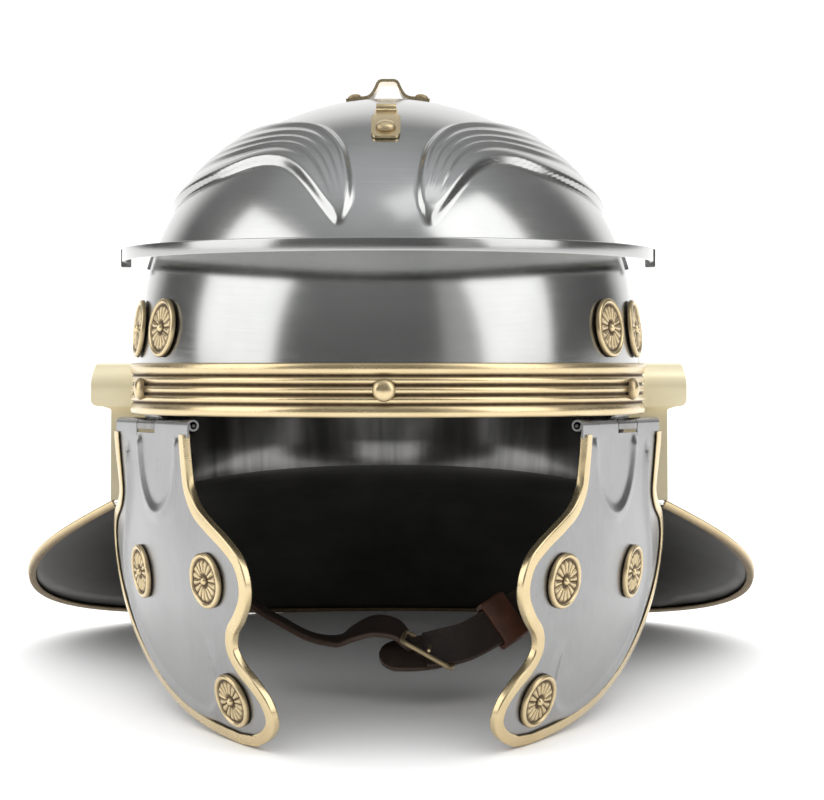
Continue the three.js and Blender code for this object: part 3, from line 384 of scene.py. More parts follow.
def eyebrow_relief(angles, share):
    """How far the embossing stands out along one row of the bowl, at a share of its height."""
    lines = through(eyebrow_lines, 480)
    low, span = lines[:, None, :2], (lines[:, 2:] - lines[:, :2])[:, None, :]
    ends = [bowl_point(lines[:, k], lines[:, k + 1] * bowl_height) for k in (0, 2)]
    width = np.linalg.norm(ends[1] - ends[0], axis=1)
    away = np.abs((angles + 180) % 360 - 180)
    east, up = away[None, :] - low[..., 0], share - low[..., 1]
    beside = span[..., 0] * up - span[..., 1] * east
    across = east * span[..., 0] + up * span[..., 1] * turn_for_height
    across /= span[..., 0] ** 2 + span[..., 1] ** 2 * turn_for_height
    crossing = (beside[:-1] * beside[1:] <= 0) & (across[:-1] > -0.6) & (across[:-1] < 1.6)
    relief = np.zeros(len(angles))
    for start, column in zip(*np.nonzero(crossing)):
        gap = beside[start, column] - beside[start + 1, column]
        step = beside[start, column] / gap if gap else 0.0
        place = (start + step) / (len(lines) - 1)
        wide = width[start] + (width[start + 1] - width[start]) * step
        at = across[start, column] + (across[start + 1, column] - across[start, column]) * step
        side = smooth(-0.5 * fold_slope, fold_slope, at * wide)
        side *= smooth(-0.5 * fold_slope, fold_slope, (1 - at) * wide)
        valley = np.interp(at, valley_line[:, 0], valley_line[:, 1]) * smooth(9.0, 23.0, wide)
        valley *= valley_depth
        rise = fold_rise * (1 - math.exp(-wide / 6.0)) * smooth(0.0, 0.02, place)
        rise *= (1 - smooth(0.90, 1.0, place)) * side * (1 - valley)
        relief[column] = max(relief[column], rise)
    return relief


front_columns, back_columns, low_rows, dome_rows, coarse = 420, 104, 8, 148, 4
relief_start = 62.0
angles = np.concatenate([
    np.linspace(-ear_angle, ear_angle, front_columns, endpoint=False),
    np.linspace(ear_angle, 360 - ear_angle, back_columns, endpoint=False),
])
columns = len(angles)
meridian = np.sin(np.linspace(0, math.pi / 2, 4000)) ** (2 / bowl_fullness)
meridian_line = np.stack([bowl_point(90.0, meridian * bowl_height)[:, k] for k in (0, 2)], axis=1)
upper_rows = even(meridian_line[meridian_line[:, 1] >= relief_start], dome_rows - low_rows + 1)[:-1, 1]
row_heights = np.concatenate([np.linspace(0, relief_start, low_rows + 1)[:-1], upper_rows])
plain_dome = bowl_point(angles[None, :], row_heights[:, None])
relief = np.array([
    eyebrow_relief(angles, height / bowl_height) if height >= relief_start else np.zeros(columns)
    for height in row_heights
])
dome = plain_dome + bowl_normal(plain_dome) * relief[..., None]

back_angles = np.linspace(ear_angle, 360 - ear_angle, back_columns + 1)
crease = bowl_point(back_angles, 0.0)
crease[:, 2] = crease_height(back_angles)
rim = guard_rim(back_angles)
wall_top = bowl_point(back_angles, 0.0)
crease_round, border_width, groove_depth, guard_swell = 5.0, 9.0, 0.45, 1.2
flare = rim - crease
flare_length = np.linalg.norm(flare, axis=1, keepdims=True)
over_crease = crease + np.array([0.0, 0.0, crease_round])
past_crease = crease + flare / flare_length * crease_round
nape_rows = [wall_top + (over_crease - wall_top) * share for share in np.linspace(0, 1, 8)[:-1]]
for share in np.linspace(0, 1, 7):
    nape_rows.append(
        over_crease * (1 - share) ** 2 + crease * 2 * share * (1 - share) + past_crease * share ** 2,
    )
guard_normal = unit(np.cross(np.gradient(rim, axis=0), flare))
guard_normal *= np.sign(guard_normal[:, 2:3])
for share in np.linspace(0, 1, 44)[1:]:
    row = past_crease + (rim - past_crease) * share
    from_rim = np.linalg.norm(rim - row, axis=1)
    groove = groove_depth * np.exp(-((from_rim - border_width) / 0.9) ** 2)
    swell = guard_swell * math.sin(math.pi * share) * np.minimum(flare_length[:, 0] / guard_length, 1.0)
    nape_rows.append(row + guard_normal * (swell - groove)[:, None])
nape = np.stack(nape_rows)
nape_count = len(nape) - 1
nape_normal = unit(np.cross(np.gradient(nape, axis=1), np.gradient(nape, axis=0)))
if (nape_normal[2] * stacked(nape[2][:, 0], nape[2][:, 1], 0.0)).sum() < 0:
    nape_normal = -nape_normal


def dome_index(row, column):
    return row * columns + column % columns


pole = dome_rows * columns


def nape_index(row, column):
    if row == 0:
        return dome_index(0, front_columns + column)
    return pole + 1 + (row - 1) * (back_columns + 1) + column


skull_points = [dome.reshape(-1, 3), [(0.0, 0.0, bowl_height)], nape[1:].reshape(-1, 3)]
skull_faces = grid_faces(dome_rows, columns, wrap=True)
top_row = dome_rows - 1
skull_faces += [(dome_index(top_row, k), dome_index(top_row, k + 1), pole) for k in range(columns)]
for row in range(nape_count):
    for k in range(back_columns):
        skull_faces.append((nape_index(row, k), nape_index(row, k + 1), nape_index(row + 1, k + 1),
                            nape_index(row + 1, k)))
chosen = [0] * len(skull_faces)

# The inside is the same sheet 1.2 mm further in, with every fourth row and column
inner_at, inner_points = {}, []
next_point = sum(len(part) for part in skull_points)
for row in range(0, dome_rows, coarse):
    for column in range(0, columns, coarse):
        inner_at[dome_index(row, column)] = next_point + len(inner_points)
        inner_points.append(bowl_point(angles[column], row_heights[row], -bowl_sheet))
inner_pole = next_point + len(inner_points)
inner_points.append(np.array([0.0, 0.0, bowl_height - bowl_sheet]))
for row in range(coarse, nape_count + 1, coarse):
    for column in range(0, back_columns + 1, coarse):
        inner_at[nape_index(row, column)] = next_point + len(inner_points)
        inner_points.append(nape[row, column] - nape_normal[row, column] * bowl_sheet)
skull_points.append(np.array(inner_points))


def inner_sheet(index, rows, columns):
    """The inside's faces behind a part of the outside."""
    faces = []
    for row in range(0, rows, coarse):
        for column in range(0, columns, coarse):
            below, beyond = row + coarse, column + coarse
            corners = ((row, column), (below, column), (below, beyond), (row, beyond))
            faces.append(tuple(inner_at[index(*corner)] for corner in corners))
    return faces


last_row = (dome_rows - 1) // coarse * coarse
dome_inside = inner_sheet(dome_index, last_row, columns)
for column in range(0, columns, coarse):
    dome_inside.append((inner_at[dome_index(last_row, column)], inner_pole,
                        inner_at[dome_index(last_row, column + coarse)]))
nape_inside = inner_sheet(nape_index, nape_count, back_columns)
# The inside takes the darker inner steel down to the first rows of the back wall. Below them, the inside of
# the nape and neck guard takes the near-black steel. Both are painted shade on the one sheet of steel.
wall_rows = 8
wall_faces = (wall_rows // coarse) * (back_columns // coarse)
skull_faces += dome_inside + nape_inside
chosen += [1] * (len(dome_inside) + wall_faces) + [2] * (len(nape_inside) - wall_faces)
edge_loop = [dome_index(0, column) for column in range(front_columns)]
edge_loop += [nape_index(row, 0) for row in range(nape_count)]
edge_loop += [nape_index(nape_count, column) for column in range(back_columns)]
edge_loop += [nape_index(row, back_columns) for row in range(nape_count, 0, -1)]
for k in range(0, len(edge_loop), coarse):
    run = [edge_loop[(k + step) % len(edge_loop)] for step in range(coarse + 1)]
    skull_faces.append((*run, inner_at[run[-1]], inner_at[run[0]]))
    chosen.append(0)
make_piece("skull_shell", np.vstack(skull_points), skull_faces, (bowl_steel, shaded_inner_steel, shade_black_steel),
           "helmet", ["skull"], chosen=chosen, angle=75)


# Neck guard edging: a thin strip of brass folded over the neck guard's rim from corner to corner.
# Its underside is painted dark brown: painted shade.
def brass_material(name, dark, light, roughness, metallic=0.95):
    made, shader, wire = new_finish(name)
    place = wire.node("ShaderNodeTexCoord", output="Object")
    cloud = noise(place, 60.0, 4.0, 0.55)
    streak = brush_marks(place, (260.0, 260.0, 2200.0))
    spots = (noise(place, 420.0, 2.0, 0.5) - 0.5) * 0.25
    # Where the mark is high the brass turns dark brown, duller and less metallic. This is tarnish in hollows,
    # and painted shade on the underside of the neck guard edging.
    tarnish_and_shade = wire.node("ShaderNodeAttribute", {"attribute_name": "tarnish_wear_and_shade"}, output="Fac")
    clean = blend(ramp(cloud * 0.85 + streak * 0.15, 0.2, 0.8), dark, light)
    darkened = wire.node("ShaderNodeMath", {"operation": "ADD", "use_clamp": True},
                        {0: tarnish_and_shade, 1: spots * tarnish_and_shade})
    link(blend(darkened, clean, (0.085, 0.052, 0.026)), shader, "Base Color")
    link(metallic - darkened * 0.35, shader, "Metallic")
    link((cloud - 0.5) * 0.10 + (streak - 0.5) * 0.05 + darkened * 0.28 + roughness, shader, "Roughness")
    bump = wire.node("ShaderNodeBump", {}, {"Strength": 0.04, "Distance": 0.0001, "Height": streak})
    link(bump, shader, "Normal")
    return made


brass = brass_material("satin_brass", (0.58, 0.455, 0.255), (0.72, 0.59, 0.365), 0.26)
# The ear guards take a much paler, half-metallic copy of the brass: painted light, for the bright light the
# hoods catch.
lit_hood_brass = brass_material("lit_hood_brass", (0.86, 0.76, 0.51), (0.95, 0.86, 0.61), 0.30, 0.50)


def sweep(at, across, up, section, size=None, closed=False):
    """A bar of a closed section along a line of stations."""
    section = np.asarray(section, float)
    size = np.ones(len(at)) if size is None else np.asarray(size, float)
    rings = at[:, None, :] + across[:, None, :] * (section[None, :, 0:1] * size[:, None, None])
    rings = rings + up[:, None, :] * (section[None, :, 1:2] * size[:, None, None])
    sides, count = len(section), len(at)
    faces = []
    for k in range(count if closed else count - 1):
        a, b = k * sides, ((k + 1) % count) * sides
        for s in range(sides):
            t = (s + 1) % sides
            faces.append((a + s, a + t, b + t, b + s))
    if not closed:
        faces.append(tuple(range(sides)))
        faces.append(tuple(range((count - 1) * sides, count * sides)))
    return rings.reshape(-1, 3), faces


def headings(line):
    return unit(np.gradient(line, axis=0))


def round_corners(corners, radius, steps=4):
    """A closed outline with its corners rounded."""
    corners = [np.asarray(corner, float) for corner in corners]
    outline = []
    for k, corner in enumerate(corners):
        before, after = corners[k - 1], corners[(k + 1) % len(corners)]
        a = corner + unit(before - corner) * min(radius, 0.45 * np.linalg.norm(before - corner))
        b = corner + unit(after - corner) * min(radius, 0.45 * np.linalg.norm(after - corner))
        for share in np.linspace(0, 1, steps):
            outline.append(a * (1 - share) ** 2 + corner * 2 * share * (1 - share) + b * share ** 2)
    return np.array(outline)


edging_sheet, edging_gap = 0.8, 0.3


def edging_section(width, thickness, lift, under):
    top, edge = lift + edging_sheet, edging_gap + edging_sheet
    low = -thickness - edging_gap
    return round_corners([
        (-width, lift), (-width, top), (edge, top), (edge, low - edging_sheet),
        (-under, low - edging_sheet), (-under, low), (edging_gap, low), (edging_gap, lift),
    ], 0.75, 5)


rim_stations = 240
rim_line = even(guard_rim(np.linspace(ear_angle, 360 - ear_angle, 300)), rim_stations)
rim_root = bowl_point(np.linspace(ear_angle, 360 - ear_angle, rim_stations), 0.0)
rim_root[:, 2] = -crease_drop
rim_along = headings(rim_line)
inward = rim_root - rim_line
rim_up = unit(np.cross(inward, rim_along))
rim_up *= np.sign(rim_up[:, 2:3])
rim_across = unit(np.cross(rim_along, rim_up))
rim_across *= -np.sign((rim_across * inward).sum(axis=1, keepdims=True))
points, faces = sweep(rim_line, rim_across, rim_up, edging_section(3.2, bowl_sheet, 0.5, 2.0))
binding_sides = len(points) // rim_stations
centres, lift = (np.repeat(values, binding_sides, axis=0) for values in (rim_line, rim_up))
# The faces on the underside of the edging are darkened: painted shade.
under = 0.78 * (1 - smooth(-0.9, 0.2, ((points - centres) * lift).sum(axis=1)))
make_piece("neck_guard_binding", points, faces, (brass,), "helmet", ["neck_guard_edging"],
           tarnish_wear_and_shade=under)


# Brow bar: a level steel shelf across the forehead with its outer edge folded down into a lip.
# Each end is folded square and held by a rivet on the bowl.
bar_top, bar_plate, bar_lip, bar_end = 66.5, 1.5, 5.2, 92.0
bar_inner = bowl_point(90.0, bar_top - bar_plate)[0] + edging_gap
bar_inner_depth = -bowl_point(0.0, bar_top - bar_plate)[1] + edging_gap
bar_outer, bar_outer_depth = bar_inner + 13.0, bowl_half_depth + 15.5
bar_angles = np.radians(np.linspace(-bar_end, bar_end, 170))
inner_edge = stacked(bar_inner * np.sin(bar_angles), -bar_inner_depth * np.cos(bar_angles), bar_top)
outer_edge = stacked(bar_outer * np.sin(bar_angles), -bar_outer_depth * np.cos(bar_angles), bar_top)
reach = np.linalg.norm(outer_edge - inner_edge, axis=1)
outward = unit(outer_edge - inner_edge)
straight_up = stacked(0.0, 0.0, np.ones(len(bar_angles)))
rings = []
for k in range(len(bar_angles)):
    wide = reach[k]
    section = round_corners([
        (0, 0), (wide, 0), (wide, -bar_lip), (wide - bar_plate, -bar_lip),
        (wide - bar_plate, -bar_plate), (0, -bar_plate),
    ], 0.6, 4)
    rings.append(inner_edge[k] + outward[k] * section[:, 0:1] + straight_up[k] * section[:, 1:2])
sides = len(rings[0])
bar_points = np.vstack(rings)
bar_faces = grid_faces(len(rings), sides, wrap=True)
bar_faces += [tuple(range(sides)), tuple(range(len(bar_points) - sides, len(bar_points)))]


def boxed(corner, opposite, radius):
    """A block with rounded long edges, as points and faces, along Y."""
    (x0, y0, z0), (x1, y1, z1) = corner, opposite
    outline = round_corners([(x0, z0), (x1, z0), (x1, z1), (x0, z1)], radius, 4)
    at = np.array([(0, y0, 0), (0, y0 + radius / 2, 0), (0, y1 - radius / 2, 0), (0, y1, 0)], float)
    middle = np.array([(x0 + x1) / 2, (z0 + z1) / 2])
    rings = []
    for k, spot in enumerate(at):
        shrink = 0.93 if k in (0, 3) else 1.0
        section = middle + (outline - middle) * shrink
        rings.append(np.stack([section[:, 0], np.full(len(section), spot[1]), section[:, 1]], axis=1))
    faces = grid_faces(4, len(outline), wrap=True)
    faces += [tuple(range(len(outline))), tuple(range(3 * len(outline), 4 * len(outline)))]
    return np.vstack(rings), faces


def together(*parts):
    points, faces, start = [], [], 0
    for some_points, some_faces in parts:
        points.append(np.asarray(some_points, float))
        faces += [tuple(int(k) + start for k in face) for face in some_faces]
        start += len(some_points)
    return np.vstack(points), faces


def mirror(part):
    points, faces = part
    return np.asarray(points, float) * np.array([-1.0, 1.0, 1.0]), [tuple(reversed(face)) for face in faces]


def on_side(part, flip):
    return part if flip > 0 else mirror(part)


def thicken(points, faces, thickness, away=None):
    """A closed sheet behind an outer surface. Returns points, faces and how many are outer."""
    normals = np.zeros_like(points)
    corners = np.array([face[:3] for face in faces])
    a, b, c = (points[corners[:, k]] for k in range(3))
    across = unit(np.cross(b - a, c - a))
    for face_corners in range(4):
        chosen = [(face[face_corners], k) for k, face in enumerate(faces) if len(face) > face_corners]
        index = np.array([pair[0] for pair in chosen], dtype=int)
        which = np.array([pair[1] for pair in chosen], dtype=int)
        np.add.at(normals, index, across[which])
    if away is not None and (normals.sum(axis=0) @ np.asarray(away, float)) < 0:
        faces = [tuple(reversed(face)) for face in faces]
        normals = -normals
    count = len(points)
    inner = points - unit(normals) * thickness
    edges = {}
    for face in faces:
        for k, a in enumerate(face):
            b = face[(k + 1) % len(face)]
            if (b, a) in edges:
                del edges[(b, a)]
            else:
                edges[(a, b)] = True
    walls = [(b, a, a + count, b + count) for a, b in edges]
    backs = [tuple(corner + count for corner in reversed(face)) for face in faces]
    return np.vstack([points, inner]), faces + backs + walls, len(faces)


tab_angles = np.linspace(88.0, 100.0, 14)
tab_heights = np.linspace(bar_top - 0.3, bar_top - 8.3, 8)
tab_grid = bowl_point(tab_angles[None, :], tab_heights[:, None], edging_gap + bowl_sheet).reshape(-1, 3)
tab_points, tab_faces, _ = thicken(tab_grid, grid_faces(8, 14), bowl_sheet, away=(1, 0, 0))
bar_tip = outer_edge[-1]
fold = boxed((bar_tip[0] - 2.6, bar_tip[1] - 2.6, bar_top - 7.0),
             (bar_tip[0] + 1.6, bar_tip[1] + 2.6, bar_top + 0.6), 0.6)
tab = (tab_points, tab_faces)
points, faces = together((bar_points, bar_faces), tab, mirror(tab), fold, mirror(fold))
make_piece("brow_shelf", points, faces, (bowl_steel,), "helmet", ["brow_bar"])


def turned(profile, turns=40):
    """A body turned about Z from rows of radius and height that start and end on the axis."""
    profile = np.asarray(profile, float)
    turn = np.linspace(0, 2 * math.pi, turns, endpoint=False)
    rings = [stacked(r * np.cos(turn), r * np.sin(turn), z) for r, z in profile[1:-1]]
    points = np.vstack([[(0, 0, profile[0][1])], *rings, [(0, 0, profile[-1][1])]])
    faces = grid_faces(len(rings), turns, wrap=True, start=1)
    last = 1 + (len(rings) - 1) * turns
    faces += [(0, 1 + (k + 1) % turns, 1 + k) for k in range(turns)]
    faces += [(last + k, last + (k + 1) % turns, len(points) - 1) for k in range(turns)]
    return points, faces


def stood(part, at, up, spin=0.0):
    """A part drawn about Z, stood at a point with Z along up."""
    points, faces = part
    turn = Vector((0, 0, 1)).rotation_difference(Vector(tuple(up))).to_matrix()
    turn = np.array(turn @ Matrix.Rotation(spin, 3, "Z"))
    return points @ turn.T + np.asarray(at, float), faces


def dome_head(radius, height):
    rise = np.linspace(0, math.pi / 2, 9)
    profile = [(0, 0), (radius * 0.97, 0), (radius, height * 0.12)]
    profile += [(radius * math.cos(a) ** 0.9, height * (0.14 + 0.86 * math.sin(a))) for a in rise[1:-1]]
    return profile + [(0, height)]


def rivet_piece(name, radius, height, at, up, material, body, node):
    points, faces = stood(turned(dome_head(radius, height)), at, up)
    edge = np.linalg.norm(points - np.asarray(at, float), axis=1)
    tarnish_wear_and_shade = smooth(0.86, 1.06, edge / radius) * 0.8
    make_piece(name, points, faces, (material,), body, [node], tarnish_wear_and_shade=tarnish_wear_and_shade)


both_sides = ((1, "right"), (-1, "left"))
small_rivet = 2.9
for flip, side_name in both_sides:
    at = bowl_point(97.5 * flip, bar_top - 4.3)
    up = bowl_normal(at)
    at = at + up * (2 * edging_gap + bowl_sheet - 0.15)
    rivet_piece(f"brow_shelf_rivet_{side_name}", small_rivet, 1.8, at, up, bowl_steel, "helmet",
                f"brow_bar_rivet_{side_name}")


# Brow band: pressed brass round the front of the bowl, with a wide rib along the top and the
# bottom and three thin ribs between, held by a dome rivet in front and one on each side.
band_height, band_sheet, band_rib = 20.4, 0.8, 1.25
rib_shares, rib_gap = (0.206, 0.127, 0.127, 0.127, 0.206), (1 - 0.793) / 4
ear_y, ear_z, ear_arch, ear_flange = 29.0, 9.8, 9.6, 14.4
band_end = 90 + math.degrees(math.asin((ear_y - ear_arch - ear_flange - 0.6) / bowl_half_depth)) - 0.2


def band_profile():
    """Rows of height, stand-off and tarnish up the band's face."""
    rows, z = [], 0.0
    for k, share in enumerate(rib_shares):
        wide = k in (0, 4)
        for t in np.linspace(0.0, 1.0, 9):
            crown = math.sin(math.pi * (0.06 + 0.88 * t)) ** (0.45 if wide else 0.62)
            rows.append((band_height * (z + share * t), band_sheet + band_rib * crown, 1 - crown))
        z += share
        if k < 4:
            rows.append((band_height * (z + rib_gap * 0.5), band_sheet - 0.05, 1.0))
            z += rib_gap
    return np.array(rows)


profile = band_profile()
section = [(edging_gap + out, z) for z, out, _ in profile] + [(edging_gap, band_height), (edging_gap, 0.0)]
band_stations = 240
band_angles = np.linspace(-band_end, band_end, band_stations)
band_line = bowl_point(band_angles, 0.0)
points, faces = sweep(band_line, bowl_normal(band_line), stacked(0, 0, np.ones(band_stations)), section)
deep = np.concatenate([smooth(0.1, 0.8, profile[:, 2]), [1.0, 1.0]])
make_piece("ribbed_brow_band", points, faces, (brass,), "helmet", ["brow_band"],
           tarnish_wear_and_shade=np.tile(deep, band_stations), angle=60)

band_rivet = 4.35
for angle, node in ((0, "band_rivet_front"), (67, "band_rivet_right"), (-67, "band_rivet_left")):
    at = bowl_point(angle, 0.0)
    up = bowl_normal(at)
    at = at + up * (edging_gap + band_sheet + band_rib) + np.array([0, 0, band_height / 2])
    rivet_piece(f"dome_{node}", band_rivet, 3.0, at, up, brass, "helmet", node)


# Rosettes: stamped brass discs with a raised rim, a daisy of petals round a dome. Two sit over
# the band on each side, and three on each cheek piece.
def rosette(radius, height, petals=16):
    rings, turns = 40, 96
    share = np.linspace(0, 1, rings + 1)[1:]
    turn = np.linspace(0, 2 * math.pi, turns, endpoint=False)
    r, phi = np.meshgrid(share, turn, indexing="ij")
    rim_bead = smooth(0.80, 0.87, r) * (1 - 0.5 * smooth(0.93, 1.0, r))
    spoke = np.abs(np.cos(phi * petals / 2)) ** 0.8
    body = smooth(0.22, 0.34, r) * (1 - smooth(0.66, 0.78, r))
    petal = spoke * body
    boss = np.sqrt(np.clip(1 - (r / 0.15) ** 2, 0, 1))
    z = 0.30 + 0.30 * rim_bead + 0.26 * petal + 0.62 * boss
    z = z * height
    edge = share > 0.985
    z[edge] = height * 0.36
    low = 1 - np.clip(rim_bead * 1.3 + petal + smooth(0.0, 0.25, boss), 0, 1)
    low[edge] = 0.3
    top = stacked(radius * r * np.cos(phi), radius * r * np.sin(phi), z).reshape(-1, 3)
    base = stacked(radius * np.cos(turn), radius * np.sin(turn), 0.0)
    points = np.vstack([[(0, 0, height * 0.96)], top, base, [(0, 0, 0)]])
    faces = [(0, 1 + k, 1 + (k + 1) % turns) for k in range(turns)]
    faces += grid_faces(rings + 1, turns, wrap=True, start=1)
    last = 1 + rings * turns
    faces += [(last + (k + 1) % turns, last + k, len(points) - 1) for k in range(turns)]
    tarnish_wear_and_shade = np.concatenate([[0.0], low.reshape(-1), np.full(turns + 1, 0.8)])
    return (points, faces), tarnish_wear_and_shade


def rosette_piece(name, radius, at, up, body, node):
    part, tarnish_wear_and_shade = rosette(radius, 2.9)
    points, faces = stood(part, at, up, spin=0.3)
    make_piece(name, points, faces, (brass,), body, [node], tarnish_wear_and_shade=tarnish_wear_and_shade, angle=60)


for flip, side_name in both_sides:
    for angle, place in ((58.5, "front"), (75.0, "rear")):
        at = bowl_point(angle * flip, 34.0)
        up = bowl_normal(at)
        rosette_piece(f"stamped_bowl_rosette_{side_name}_{place}", 11.5, at + up * edging_gap, up, "helmet",
                      f"bowl_rosette_{side_name}_{place}")


# Ear guards: each is one brass sheet, a flange riveted to the bowl round the ear and a hood that
# stands out over the ear and runs down behind it to the neck guard.
hood_reach, foot_reach, foot_y, ear_sheet = 123.5, 117.0, 35.5, 1.1
hood_round, hood_bottom = 3.0, 2.4
flange_rows, hood_rows, hood_stations = 9, 16, 150


def wall_x(y, lift):
    return (bowl_half_width + lift) * np.sqrt(1 - (np.asarray(y) / (bowl_half_depth + lift)) ** 2)


def lean(z):
    return bowl_half_width - bowl_point(90.0, np.maximum(0, z))[..., 0]


def ear_path(radius, pointed):
    turn = np.linspace(math.pi, 0, 40)
    tall = 1 + pointed * np.sin(turn)
    arc = np.stack([ear_y + radius * np.cos(turn), ear_z + radius * tall * np.sin(turn)], axis=1)
    fall = np.linspace(0.8, ear_z, 8)[:-1]
    before = np.stack([np.full(7, ear_y - radius), fall], axis=1)
    return np.vstack([before, arc])


def ear_guard_part():
    flange_lift = edging_gap + ear_sheet
    after = np.linspace(ear_z, 0.8, 8)[1:]
    rows = []
    for share in np.linspace(0, 1, flange_rows):
        radius = ear_arch - 0.4 + (ear_flange + 0.4) * share
        path = ear_path(radius, 0.22 * share)
        path = np.vstack([path, np.stack([np.full(7, ear_y + radius), after], axis=1)])
        rows.append(stacked(wall_x(path[:, 0], flange_lift) - lean(path[:, 1]), path[:, 0], path[:, 1]))
    grid = np.vstack(rows)
    flange_points, flange_faces, _ = thicken(grid, grid_faces(flange_rows, len(rows[0])), ear_sheet,
                                             away=(1, 0, 0))
    foot_z = -ear_edge_drop + 0.9
    back_y = ear_y + ear_arch
    bend_y = back_y + (foot_y - back_y) * 0.4
    leg = even(through([(back_y, ear_z), (bend_y, -8.0), (foot_y, foot_z)], 60), 60)[1:]
    arc = ear_path(ear_arch, 0.0)
    arc = arc[arc[:, 1] >= hood_bottom]
    route = even(np.vstack([[(ear_y - ear_arch, hood_bottom)], arc, leg]), hood_stations)
    arch = np.clip((route[:, 1] - ear_z) / ear_arch, 0, 1)
    low = np.clip((hood_bottom + hood_round - route[:, 1]) / hood_round, 0, 1)
    edge = hood_round * (1 - np.sqrt(np.clip(1 - low ** 2, 0, 1))) + 0.6 * hood_round * arch ** 2
    hood_side = hood_reach - hood_round
    step_down = hood_side - (hood_side - foot_reach) * smooth(0.0, 1.5, hood_bottom - route[:, 1])
    outer = np.where(route[:, 1] > hood_bottom, hood_reach - edge, step_down)
    inner = wall_x(route[:, 0], edging_gap) - lean(route[:, 1]) + 0.4
    rows = []
    tangent = unit(np.gradient(route, axis=0))
    normal = np.stack([-tangent[:, 1], tangent[:, 0]], axis=1)
    for share in np.linspace(0, 1, hood_rows):
        x = inner + (outer - inner) * share
        fillet = 2.2 * (1 - smooth(0.0, 0.22, share)) ** 2 * (route[:, 1] > hood_bottom)
        spot = route + normal * fillet[:, None]
        rows.append(stacked(x, spot[:, 0], spot[:, 1]))
    grid = np.vstack(rows)
    hood_points, hood_faces, _ = thicken(grid, grid_faces(hood_rows, hood_stations), ear_sheet,
                                         away=(0, -0.5, 1))
    return together((flange_points, flange_faces), (hood_points, hood_faces))


ear_part = ear_guard_part()
rivet_out = ear_arch + 0.55 * ear_flange
for flip, side_name in both_sides:
    points, faces = on_side(ear_part, flip)
    # The ear guard is made darker towards its lower end.
    down = smooth(6.0, -14.0, points[:, 2]) * 0.35
    make_piece(f"ear_hood_{side_name}", points, faces, (lit_hood_brass,), "helmet",
               [f"ear_guard_{side_name}"], tarnish_wear_and_shade=down, angle=45)
    for y, place in ((ear_y - rivet_out, "front"), (ear_y + rivet_out, "rear")):
        at = np.array([wall_x(y, 2 * edging_gap + ear_sheet) - 0.2, y, ear_z - 1])
        up = bowl_normal(np.array([at[0], at[1], 0.0]))
        at, up = at * np.array([flip, 1, 1]), up * np.array([flip, 1, 1])
        rivet_piece(f"ear_hood_rivet_{side_name}_{place}", small_rivet, 2.0, at, up, brass, "helmet",
                    f"ear_guard_rivet_{side_name}_{place}")


# Crest bridge: a strip of brass bent up over a slot on the crown, into which a crest slides. Each
# foot lies on the bowl and is held by a rivet.
def crown_z(x, y):
    share = np.hypot(np.asarray(x) / bowl_half_width, np.asarray(y) / bowl_half_depth)
    return bowl_height * (1 - share ** (1 / bowl_shoulder)) ** (1 / bowl_fullness)


bridge_length, bridge_y, bridge_span, bridge_sheet, bridge_rows = 20.0, 5.0, 17.0, 1.2, 9
bridge_middle = through([
    (bridge_span, crown_z(bridge_span, bridge_y) + 0.9), (12.0, crown_z(12, bridge_y) + 0.95),
    (8.6, crown_z(8.6, bridge_y) + 1.0), (6.6, 129.7), (5.0, 132.2), (3.9, 134.5), (2.6, 135.25),
    (0.0, 135.3),
], 50)
bridge_middle = np.vstack([bridge_middle, bridge_middle[::-1][1:] * np.array([-1, 1])])
tangent = unit(np.gradient(bridge_middle, axis=0))
normal = np.stack([-tangent[:, 1], tangent[:, 0]], axis=1)
normal *= np.sign(normal[:, 1:2] + 1e-9)
depth_rows = []
for share in np.linspace(0, 1, bridge_rows):
    y = bridge_y + (share - 0.5) * bridge_length
    spot = bridge_middle + normal * (bridge_sheet / 2)
    drop = (crown_z(spot[:, 0], bridge_y) - crown_z(spot[:, 0], y)) * smooth(7.0, 11.0, np.abs(spot[:, 0]))
    depth_rows.append(stacked(spot[:, 0], y, spot[:, 1] - np.maximum(0, drop) * 0.6))
grid = np.vstack(depth_rows)
points, faces, _ = thicken(grid, grid_faces(bridge_rows, len(bridge_middle)), bridge_sheet, away=(0, 0, 1))
low = smooth(133.0, 129.0, points[:, 2]) * smooth(9.0, 6.0, np.abs(points[:, 0])) * 0.6
make_piece("bent_crest_bridge", points, faces, (brass,), "helmet", ["crest_bridge"], tarnish_wear_and_shade=low)
for flip, side_name in both_sides:
    at = np.array([13.7 * flip, bridge_y, crown_z(13.7, bridge_y) + 1.65])
    rivet_piece(f"crest_foot_rivet_{side_name}", 2.85, 2.1, at, bowl_normal(at), brass, "helmet",
                f"crest_bridge_rivet_{side_name}")


# Crest hook: a small brass plate on the forehead, held by one dome rivet. Its upper end is slit and
# the tongue between is bent up into a hook for the crest.
hook_width, hook_length, hook_top_z, hook_lift = 11.2, 25.0, 118.5, 2.8
hook_rows, hook_columns, curl_stations = 60, 17, 10
hook_top_y = bowl_point(0.0, hook_top_z)[1]


def hook_spot(share, x=0.0):
    y = hook_top_y - np.asarray(share) * hook_length * 0.95
    at = stacked(x, y, crown_z(x, y))
    return at + bowl_normal(at) * (edging_gap + bridge_sheet)


